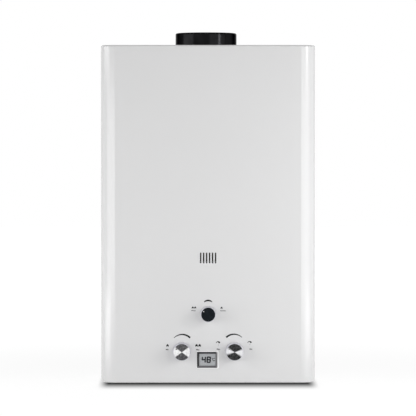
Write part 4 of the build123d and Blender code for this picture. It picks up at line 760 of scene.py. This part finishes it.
def flat_text(words: str, centre: Pair, height: float, face: float,
              thickness: float, bold: float = 0.035) -> Shell:
    """Lettering as a thin closed mesh on a front plane.

    Args:
        words: The words.
        centre: X and Z of their middle in millimetres.
        height: Height of a capital in millimetres.
        face: Y of the plane in millimetres.
        thickness: How far the letters stand out in millimetres.
        bold: Growth of the strokes, as a share of a capital.

    Returns:
        The points and faces of the letters.
    """
    curve = bpy.data.curves.new("lettering", "FONT")
    curve.body = words
    curve.size = height * SIZE_TO_CAPITAL
    curve.align_x, curve.align_y = "CENTER", "CENTER"
    curve.extrude = thickness / 2
    curve.offset = bold * height
    holder = bpy.data.objects.new("lettering", curve)
    bpy.context.scene.collection.objects.link(holder)
    bpy.context.view_layer.update()
    mesh = bpy.data.meshes.new_from_object(holder.evaluated_get(
        bpy.context.evaluated_depsgraph_get()))
    flat = np.array([vertex.co for vertex in mesh.vertices])
    faces = [tuple(polygon.vertices) for polygon in mesh.polygons]
    bpy.data.objects.remove(holder)
    bpy.data.curves.remove(curve)
    bpy.data.meshes.remove(mesh)
    return on_front(flat[:, :2] + centre, flat[:, 2] + thickness / 2, face), faces


def finish_piece(piece: bpy.types.Object, body: str, slot: str, name: str, finish: Finish,
                 *replaced: str) -> bpy.types.Object:
    """Gives a piece its body and finish, and hides what it stands for.

    Args:
        piece: The piece.
        body: Body that it rides on.
        slot: Material slot of the record; not used.
        name: Name of its material.
        finish: Its finish.
        replaced: CAD nodes that it replaces.

    Returns:
        The same piece.
    """
    wear(piece, name, finish)
    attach(piece, body)
    if replaced:
        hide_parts(*replaced)
    LOG.info("%s: %d faces on %s", piece.name, len(piece.data.polygons), body)
    return piece


# ---- the printing
class Icon(Enum):
    """Signs that a scale can carry at its ends."""

    FLAME = "flame"
    TWO_FLAMES = "two_flames"
    TAP = "tap"


def flame_outline(centre: Pair, size: float) -> np.ndarray:
    """Solid flame with a pointed top and a hollow foot.

    Args:
        centre: X and Z of its middle in millimetres.
        size: Its height in millimetres.

    Returns:
        Its outline. With t from 0 to 2 pi, the height is -cos t / 2 and the half
        width 0.62 sin t (0.62 - 0.62 height) ** 0.8, with a notch at the foot.
    """
    t = full_turn(48)
    up = -0.5 * np.cos(t)
    width = 0.62 * np.sin(t) * (0.62 - 0.62 * up) ** 0.8
    turn = np.minimum(t, 2 * math.pi - t)
    notch = 0.30 * np.exp(-(turn / 0.42) ** 2)
    return np.stack([width, up + notch], -1) * size + centre


def tap_outlines(centre: Pair, size: float, drops: int) -> list[np.ndarray]:
    """Tap in side view: a spout that curves down to the left, and drops under it.

    Args:
        centre: X and Z of its middle in millimetres.
        size: Its width in millimetres.
        drops: How many drops fall.

    Returns:
        Outlines of the spout, the body, the handle and the drops, which are laid
        out in shares of the size.
    """
    t = full_turn(24)
    spout = swept_arc((-0.02, -0.22), 0.38, (170.0, 42.0), (0.10, 0.15, 0.24), 24)
    body = np.stack([0.27 + 0.20 * np.cos(t), -0.03 + 0.16 * np.sin(t)], -1)
    handle = np.array([(0.04, 0.10), (0.34, 0.06), (0.34, 0.20), (0.04, 0.22)])
    drop = np.stack([0.08 + 0.045 * np.sin(t) * (1 - 0.4 * np.cos(t)), 0.0675 * np.cos(t)], -1)
    fallen = [drop - (0.0, 0.50 + 0.26 * index) for index in range(drops)]
    return [outline * size + centre for outline in (spout, body, handle, *fallen)]


@dataclass
class ScaleEnd:
    """Sign and word at one end of a printed scale."""

    icon: Icon
    at: Pair
    size: float
    word: str
    word_at: Pair
    word_height: float
    drops: int = 0

    def shapes(self, face: float, thickness: float) -> list[Shell]:
        """Builds the sign and the word as thin prisms.

        Args:
            face: Y of the front in millimetres.
            thickness: Thickness of the ink in millimetres.

        Returns:
            A list of (points, faces).
        """
        x, z = self.at
        if self.icon is Icon.TAP:
            outlines = tap_outlines(self.at, self.size, self.drops)
        elif self.icon is Icon.TWO_FLAMES:
            step = 0.50 * self.size
            outlines = [flame_outline((x + sign * step, z), self.size) for sign in (-1, 1)]
        else:
            outlines = [flame_outline(self.at, self.size)]
        shapes = [raised_shape(outline, face, thickness) for outline in outlines]
        shapes.append(flat_text(self.word, self.word_at, self.word_height, face, thickness))
        return shapes


@dataclass
class PrintedScale:
    """Arc with a changing width and a sign and word at each end."""

    name: str
    centre: Pair
    radius: float
    angles: Pair
    widths: tuple[float, ...]
    ends: list[ScaleEnd]
    face: float = FRONT_FACE
    thickness: float = 0.06

    def build(self) -> bpy.types.Object:
        """Makes the print as one piece on the case."""
        arc = swept_arc(self.centre, self.radius, self.angles, self.widths)
        shapes = [raised_shape(arc, self.face, self.thickness)]
        for end in self.ends:
            shapes += end.shapes(self.face, self.thickness)
        piece = piece_from(self.name, *joined(shapes), smooth=False)
        return finish_piece(piece, ROOT, "white_case", "scale_ink", INK)


SCALES = (
    PrintedScale("gas_scale_print", (-45.4, 65.2), 19.4, (137.0, 44.0), (1.0, 1.9, 2.7, 3.2), [
        ScaleEnd(Icon.FLAME, (-70.9, 65.2), 5.2, "Min", (-71.4, 58.1), 2.4),
        ScaleEnd(Icon.TWO_FLAMES, (-17.5, 65.2), 5.4, "Max", (-18.1, 58.0), 2.4)]),
    PrintedScale("water_scale_print", (45.4, 65.6), 19.4, (135.0, 45.0), (3.2, 2.7, 1.9, 1.0), [
        ScaleEnd(Icon.TAP, (17.2, 70.7), 8.2, "Max", (17.9, 58.8), 2.4, 2),
        ScaleEnd(Icon.TAP, (72.4, 71.0), 8.2, "Min", (74.8, 58.8), 2.4, 1)]),
    PrintedScale("season_scale_print", (0.0, 133.4), 10.6, (132.0, 48.0),
                 (1.3, 2.6, 3.0, 2.6, 1.3), [
        ScaleEnd(Icon.TWO_FLAMES, (-24.7, 131.5), 4.2, "Winter", (-25.6, 126.2), 2.0),
        ScaleEnd(Icon.FLAME, (23.6, 131.0), 4.2, "Summer", (26.2, 126.1), 2.0)]),
)


# ---- painted shade at the view slots
@dataclass
class SlotEdgeShade:
    """Painted shade: a dark band round each flame-view slot, where the shade of its punched edge
    falls.
    """

    count: int = 6
    pitch: float = 5.2
    width: float = 2.1
    height: float = 18.5
    z: float = 218.4
    edge: float = 0.17
    proud: float = 0.02

    def build(self) -> bpy.types.Object:
        """Makes the painted shade as one piece on the case.

        Returns:
            For each slot a flat band, edge wide, round an outline of two half
            circles joined by straight sides.
        """
        away = polar((0.0, 0.0), 1.0, full_turn(48))
        shift = (self.height - self.width) / 2 * np.where(away[:, 1:] >= 0, 1.0, -1.0) * (0.0, 1.0)
        reach = self.width / 2 + self.edge * np.array([0.0, 1.0, 1.0, 0.0])
        shapes = []
        for index in range(self.count):
            middle = ((index - (self.count - 1) / 2) * self.pitch, self.z)
            plan = shift[:, None, :] + away[:, None, :] * reach[None, :, None] + middle
            points = on_front(plan, self.proud * np.array([1, 1, -1, -1]), FRONT_FACE)
            shapes.append((points, grid_faces(len(away), 4, True, True)))
        # painted shade round the slots, in the print's ink
        piece = piece_from("slot_edge_shade", *joined(shapes), smooth=False)
        return finish_piece(piece, ROOT, "white_case", "scale_ink", INK)


# ---- the knobs
@dataclass
class PointerDot:
    """Dot on a knob that points at its scale."""

    knob: str
    node: str
    centre: Pair
    away: float
    angle: float
    radius: float
    material: str = "pointer_ink"
    finish: Finish = INK
    thickness: float = 0.08

    def build(self) -> bpy.types.Object:
        """Makes the dot.

        Returns:
            A thin round prism on the knob's face, away from its centre at the angle
            in degrees, counted from +X towards +Z.
        """
        middle = polar(self.centre, self.away, math.radians(self.angle))
        outline = polar(middle, self.radius, full_turn(28))
        dot = piece_from(f"{self.knob}_pointer_dot",
                         *raised_shape(outline, KNOB_FACE, self.thickness), smooth=False)
        return finish_piece(dot, f"{self.knob}_control", NODE_SLOT[self.node],
                            self.material, self.finish)


DOTS = (
    PointerDot("gas", "gas_knob_disc", (-46.0, 55.2), 10.8, 151.0, 1.15),
    PointerDot("water", "water_knob_disc", (46.0, 55.2), 10.8, 151.0, 0.85),
    PointerDot("season", "season_knob_cap", (0.0, 120.6), 9.6, 146.0, 0.95,
               "pointer_white", MARK_WHITE),
)


# ---- the display
@dataclass
class DisplayWindow:
    """Rim, segments and unit sign of the temperature display."""

    centre: Pair = (-1.1, 40.1)
    half: Pair = (18.4, 14.0)
    inset: float = 1.1
    corner: float = 1.4
    rim: float = 1.7
    rim_swell: float = 1.5
    swell_range: Pair = (-0.4, 1.0)
    rim_height: float = 0.9
    rim_sunk: float = 0.05
    rim_profile: tuple[Pair, ...] = ((0.0, 0.0), (0.0, 0.93), (0.08, 1.0), (0.5, 0.54), (1.0, 0.0))
    face: float = FRONT_FACE
    panel: float = -71.8
    digit: Pair = (7.7, 11.4)
    digit_starts: Pair = (-10.3, -1.7)
    stroke: float = 2.5
    tip: float = 0.3
    shoulder: float = 0.2
    lean: float = 0.05
    reading: str = "48"
    ring_at: Pair = (7.9, 2.5)
    ring_radius: float = 0.7
    ring_width: float = 0.5
    unit_at: Pair = (10.9, 0.0)
    unit_height: float = 5.2
    unit_bold: float = 0.03
    ink: float = 0.01
    segments: dict[str, str] = field(default_factory=lambda: {"4": "bcfg", "8": "abcdefg"})

    def rim_piece(self) -> bpy.types.Object:
        """Raised white edge round the window, in a paint whiter than the case's as a painted
        highlight.

        Returns:
            rim_profile, shares of width and height from the window out to the case,
            carried along a rounded rectangle. It is rim wide, up to rim_swell wider
            on the right, where it also laps inset over the bezel, and narrower on
            the left.
        """
        quarter = np.radians(np.linspace(0, 90, 9))
        path, outward = [], []
        for index, (sx, sz) in enumerate(((1, 1), (-1, 1), (-1, -1), (1, -1))):
            direction = polar((0.0, 0.0), 1.0, quarter + index * math.pi / 2)
            side = self.half[0] - (self.inset if sx > 0 else 0.0)
            corner = np.array([sx * (side - self.corner), sz * (self.half[1] - self.corner)])
            path.append(corner + self.corner * direction)
            outward.append(direction)
        path, outward = np.concatenate(path), np.concatenate(outward)
        slope, height = np.array(self.rim_profile).T
        swell = self.rim_swell * np.clip(outward[:, :1], *self.swell_range)
        reach = slope[None, :] * (self.rim + swell)
        plan = path[:, None, :] + outward[:, None, :] * reach[..., None]
        points = on_front(plan + self.centre, height * self.rim_height - self.rim_sunk, self.face)
        faces = grid_faces(len(path), len(slope), True, True)
        piece = piece_from("display_rim", points, faces, smooth=False)
        return finish_piece(piece, ROOT, "white_case", "rim_painted_highlight", RIM_PAINTED_HIGHLIGHT)

    def bar(self, start: Pair, end: Pair) -> np.ndarray:
        """Outline of one segment with pointed ends.

        Args:
            start: X and Z of one end in millimetres.
            end: X and Z of the other end.

        Returns:
            Six points. The sharp ones lie tip strokes past the ends, and the full
            width is reached shoulder strokes behind them.
        """
        a, b = np.array(start), np.array(end)
        along = (b - a) / np.linalg.norm(b - a)
        side = np.array([-along[1], along[0]]) * self.stroke / 2
        a, b = a - along * self.tip * self.stroke, b + along * self.tip * self.stroke
        back = along * self.shoulder * self.stroke
        inner_a, inner_b = a + back, b - back
        return np.array([a, inner_a + side, inner_b + side, b, inner_b - side, inner_a - side])

    def digit_outlines(self, figure: str, left: float) -> list[np.ndarray]:
        """Segments of one figure.

        Args:
            figure: The figure.
            left: X of its left side in millimetres.

        Returns:
            One outline for each lit segment, sheared by the lean.
        """
        width, height = self.digit
        low = self.centre[1] - height / 2 + self.stroke / 2
        high = self.centre[1] + height / 2 - self.stroke / 2
        middle = self.centre[1]
        right = left + width - self.stroke
        lines = {"a": ((left, high), (right, high)), "b": ((right, middle), (right, high)),
                 "c": ((right, low), (right, middle)), "d": ((left, low), (right, low)),
                 "e": ((left, low), (left, middle)), "f": ((left, middle), (left, high)),
                 "g": ((left, middle), (right, middle))}
        outlines = [self.bar(*lines[segment]) for segment in self.segments[figure]]
        for outline in outlines:
            outline[:, 0] += (outline[:, 1] - middle) * self.lean
        return outlines

    def reading_piece(self) -> bpy.types.Object:
        """The lit segments, the degree ring and the C, behind the glass."""
        outlines = []
        for figure, left in zip(self.reading, self.digit_starts):
            outlines += self.digit_outlines(figure, self.centre[0] + left + self.stroke / 2)
        outlines.append(swept_arc(np.add(self.centre, self.ring_at), self.ring_radius,
                                  (0.0, 350.0), (self.ring_width,) * 2, 20))
        shapes = [raised_shape(outline, self.panel, self.ink) for outline in outlines]
        shapes.append(flat_text("C", np.add(self.centre, self.unit_at), self.unit_height,
                                self.panel, self.ink, self.unit_bold))
        piece = piece_from("display_reading", *joined(shapes), smooth=False)
        return finish_piece(piece, ROOT, "board", "display_segments", SEGMENT)

    def build(self) -> None:
        """Makes the pieces of the display."""
        self.rim_piece()
        self.reading_piece()


# ---- pipe threads
@dataclass
class ThreadedEnd:
    """Pipe end below the bottom plate, with a real thread on its spigot."""

    node: str
    x: float
    y: float
    bore: float
    socket_top: float
    radius: float = 10.3
    low: float = 4.0
    shank: float = 12.0
    shank_low: float = 16.5
    plate_top: float = 21.0
    collar: float = 14.0
    collar_top: float = 24.0
    socket: float = 9.0
    pitch: float = 1.814
    depth: float = 1.0
    lead: float = 0.6
    rings: int = 90
    sides: int = 72

    def build(self) -> bpy.types.Object:
        """Makes the whole fitting as one closed surface.

        Returns:
            Profile turned about the upright axis. On the spigot the radius is
            radius - depth * |2 f - 1|, with f the fraction of z / pitch + angle / 2 pi,
            and over the last pitch below the shank the cut fades out.
        """
        spigot = np.linspace(self.low + self.lead, self.shank_low, self.rings)
        profile = [(self.radius - self.depth, self.low), *((self.radius, z) for z in spigot),
                   (self.shank, self.shank_low), (self.shank, self.plate_top),
                   (self.collar, self.plate_top), (self.collar, self.collar_top),
                   (self.socket, self.collar_top), (self.socket, self.socket_top),
                   (self.bore, self.socket_top), (self.bore, self.low)]
        r, z = np.array(profile).T
        height, angle = np.meshgrid(z, full_turn(self.sides), indexing="ij")
        share = (height / self.pitch + angle / (2 * math.pi)) % 1.0
        fade = np.clip((self.shank_low - height) / self.pitch, 0, 1) * (r == self.radius)[:, None]
        reach = r[:, None] - self.depth * np.abs(2 * share - 1) * fade
        points = np.dstack([polar((self.x, self.y), reach, angle), height]) * MM
        faces = grid_faces(len(z), self.sides, True, True)
        piece = piece_from(f"{self.node}_thread", points, faces)
        return finish_piece(piece, ROOT, "brass", "brass", FINISHES["brass"], self.node)


THREADED_ENDS = (
    ThreadedEnd("gas_inlet_fitting", -76.0, -12.0, 6.5, 33.2),
    ThreadedEnd("cold_inlet_fitting", 72.0, -12.0, 6.5, 33.2),
    ThreadedEnd("hot_outlet_fitting", -140.0, -12.0, 5.0, 44.0),
)


# ---- the return spring
@dataclass
class ReturnSpring:
    """Coil spring behind the gas poppet, which shortens as the push rod slides."""

    node: str = "valve_return_spring"
    start: float = -66.0
    length: float = 26.5
    y: float = -12.0
    z: float = 55.2
    radius: float = 6.2
    wire: float = 0.6
    turns: float = 5.0
    stroke: float = 4.3
    ease: float = 0.85
    rings: int = 361
    sides: int = 10

    def build(self) -> bpy.types.Object:
        """Makes the coil as one closed surface.

        Returns:
            A round wire along a helix about X. With t from 0 to 1 its place along X
            is t - ease sin(2 pi t) / (2 pi), so the coils lie closer at both ends.
        """
        t = np.linspace(0.0, 1.0, self.rings)[:, None]
        s = full_turn(self.sides)[None, :]
        turn = 2 * math.pi * self.turns * t
        share = t - self.ease * np.sin(2 * math.pi * t) / (2 * math.pi)
        along = self.start + self.wire + (self.length - 2 * self.wire) * share
        reach = self.radius + self.wire * np.cos(s)
        points = np.dstack([along + self.wire * np.sin(s),
                            polar((self.y, self.z), reach, turn)]) * MM
        last = self.rings * self.sides
        faces = grid_faces(self.rings, self.sides, True, False)
        faces += [tuple(range(self.sides)), tuple(range(last - 1, last - 1 - self.sides, -1))]
        piece = piece_from(f"{self.node}_coil", points, faces)
        slot = NODE_SLOT[self.node]
        finish_piece(piece, ROOT, slot, slot, FINISHES[slot], self.node)
        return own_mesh(piece)


# ---- the studio
@dataclass(frozen=True)
class SoftLamp:
    """Rectangular lamp that faces the middle of the heater.

    Args:
        name: Name of the lamp.
        azimuth: Degrees round from the front, towards +X.
        height: Height of its middle.
        distance: Distance from the heater's axis.
        size: Width and height.
        radiance: Brightness of its face.
    """

    name: str
    azimuth: float
    height: float
    distance: float
    size: Pair
    radiance: float
    aim: Point = (0.0, 0.0, 0.30)

    def hang(self) -> None:
        """Adds the lamp to the scene."""
        data = bpy.data.lights.new(self.name, "AREA")
        data.shape = "RECTANGLE"
        data.size, data.size_y = self.size
        data.energy = self.radiance * math.pi * self.size[0] * self.size[1]
        lamp = bpy.data.objects.new(self.name, data)
        turn = math.radians(self.azimuth)
        lamp.location = (self.distance * math.sin(turn), -self.distance * math.cos(turn),
                         self.height)
        lamp.rotation_euler = (Vector(self.aim) - lamp.location).to_track_quat("-Z", "Y").to_euler()
        bpy.context.scene.collection.objects.link(lamp)


LAMPS = (
    SoftLamp("right_softbox", 44.0, 0.34, 1.05, (1.22, 0.66), 1.84),
    SoftLamp("left_softbox", -41.0, 0.28, 1.9, (2.1, 0.56), 1.98),
    SoftLamp("right_fill", 98.0, 0.45, 2.0, (1.3, 0.9), 0.7),
    SoftLamp("left_fill", -98.0, 0.30, 2.0, (1.3, 0.6), 0.5),
    SoftLamp("left_low", -64.0, 0.07, 0.62, (0.40, 0.13), 2.1),
    SoftLamp("right_low", 62.0, 0.07, 0.62, (0.40, 0.13), 1.2),
    SoftLamp("left_high", -72.0, 0.74, 1.6, (1.3, 0.30), 3.35),
    SoftLamp("strip", 51.2, 0.70, 1.6, (0.15, 0.12), 29.0),
)


@dataclass
class Studio:
    """Camera, pale floor with a painted shadow at the heater's foot, pale world and soft lamps."""

    target: Point = (-0.0002, -0.076, 0.3056)
    distance: float = 5.2
    azimuth: float = -0.39
    elevation: float = 1.35
    focal: float = 257.8
    sensor: float = 36.0
    clip: Pair = (0.05, 60.0)
    sky: float = 0.34
    floor_reach: float = 9.0
    floor_colour: Colour = (0.90, 0.90, 0.90)
    floor_share: float = 0.2
    floor_lift: float = 0.88
    far_lift: float = 0.08
    far_from: Pair = (0.35, 1.4)
    # reach and darkest tone of the painted shadow at the heater's foot
    painted_shadow_reach: float = 0.155
    painted_shadow_tone: float = 0.02
    back_step: Pair = (0.0, 0.05)
    back_haste: float = 20.0
    end_fade: Pair = (-0.015, 0.007)
    corner: float = 0.025

    def camera(self) -> None:
        """Places the camera and makes it the scene's."""
        across, up = math.radians(self.azimuth), math.radians(self.elevation)
        back = Vector((math.sin(across) * math.cos(up), -math.cos(across) * math.cos(up),
                       math.sin(up)))
        data = bpy.data.cameras.new("camera")
        data.lens, data.sensor_width = self.focal, self.sensor
        data.clip_start, data.clip_end = self.clip
        camera = bpy.data.objects.new("camera", data)
        camera.location = Vector(self.target) + back * self.distance
        camera.rotation_euler = (-back).to_track_quat("-Z", "Y").to_euler()
        bpy.context.scene.collection.objects.link(camera)
        bpy.context.scene.camera = camera

    def world(self) -> None:
        """Soft grey-white light, seen as white by the camera and by reflections."""
        world = bpy.data.worlds.new("pale_room")
        bpy.context.scene.world = world
        world.use_nodes = True
        nodes = Nodes(world.node_tree)
        seen = nodes.rays()[1]
        light = nodes.node("ShaderNodeBackground", None, {
            "Color": (1.0, 1.0, 1.0, 1.0), "Strength": self.sky + (1.0 - self.sky) * seen})
        nodes.node("ShaderNodeOutputWorld", None, {"Surface": light.outputs[0]})

    def painted_foot_shadow(self, shader: Shader) -> ShaderMath:
        """Painted shadow: tone of the floor near the heater's foot.

        Args:
            shader: The floor's shader.

        Returns:
            The painted shadow's darkest tone against the foot, rising
            smoothly to 1 at its reach. The distance is from the footprint's rounded
            rectangle, and across back_step it comes to count back_haste times. Past
            the ends the painted shade fades out over end_fade.
        """
        (left, _, _), (right, back, _) = CAD_BOX
        front, half = FRONT_FACE * MM, (right - left) / 2
        x, y, _ = shader.axes(shader.place((0.0, (front + back) / 2, 0.0)))
        over_x = (abs(x) - (half - self.corner)).clamped()
        over_y = (abs(y) - ((back - front) / 2 - self.corner)).clamped()
        away = ((over_x * over_x + over_y * over_y) ** 0.5 - self.corner).clamped()
        distance = away * (1.0 + y.rising(*self.back_step) * (self.back_haste - 1.0))
        open_floor = distance.rising(0.0, self.painted_shadow_reach)
        inside = 1.0 - abs(x).rising(half + self.end_fade[0], half + self.end_fade[1])
        return 1.0 - (1.0 - open_floor) * inside * (1.0 - self.painted_shadow_tone)

    def floor(self) -> None:
        """Pale floor that shows white away from the heater, keeps part of its real shadow, and
        carries a painted shadow at the heater's foot for camera rays only.
        """
        corners = self.floor_reach * np.array([(-1, -1, 0), (1, -1, 0), (1, 1, 0), (-1, 1, 0)])
        floor = piece_from("floor", corners, [(0, 1, 2, 3)], smooth=False)
        shader = Shader("pale_floor", Roughness=0.9, Specular_IOR_Level=0.0)
        camera, seen = shader.rays()
        # painted shadow at the heater's foot, for camera rays only
        tone = 1.0 - camera * (1.0 - self.painted_foot_shadow(shader))
        kept = tone * (1.0 - seen * (1.0 - self.floor_share))
        x, y, _ = shader.axes(shader.place())
        away = ((x * x + y * y) ** 0.5).rising(*self.far_from)
        shader.blend(kept, (0.0, 0.0, 0.0), self.floor_colour)
        lift = self.floor_lift + away * self.far_lift
        glow = shader.node("ShaderNodeEmission", None, {"Strength": seen * tone * lift})
        both = shader.node("ShaderNodeAddShader", None,
                           {0: shader.surface.outputs[0], 1: glow.outputs[0]})
        shader.tree.links.new(both.outputs[0], shader.output.inputs["Surface"])
        floor.data.materials.append(shader.material)

    def build(self) -> None:
        """Sets up everything round the heater."""
        bpy.context.scene.view_settings.view_transform = "Standard"
        self.camera()
        self.world()
        self.floor()
        for lamp in LAMPS:
            lamp.hang()


# ---- assembly
def dress_frame_nodes() -> None:
    """Gives every CAD node the finish of its slot, or its own where it has one."""
    for node, item in frame["nodes"].items():
        slot = NODE_SLOT[node]
        name, finish = OWN_FINISH.get(node) or (slot, FINISHES[slot])
        wear(item, name, finish)
        LOG.info("%s wears %s", node, name)


def main() -> None:
    """Builds every sub-assembly in order and the studio round them."""
    logging.basicConfig(level=logging.INFO, format="%(name)s: %(message)s")
    dress_frame_nodes()
    for part in (*SCALES, SlotEdgeShade(), *DOTS, DisplayWindow(), *THREADED_ENDS, ReturnSpring(),
                 Studio()):
        part.build()


if __name__ == "__main__":
    main()
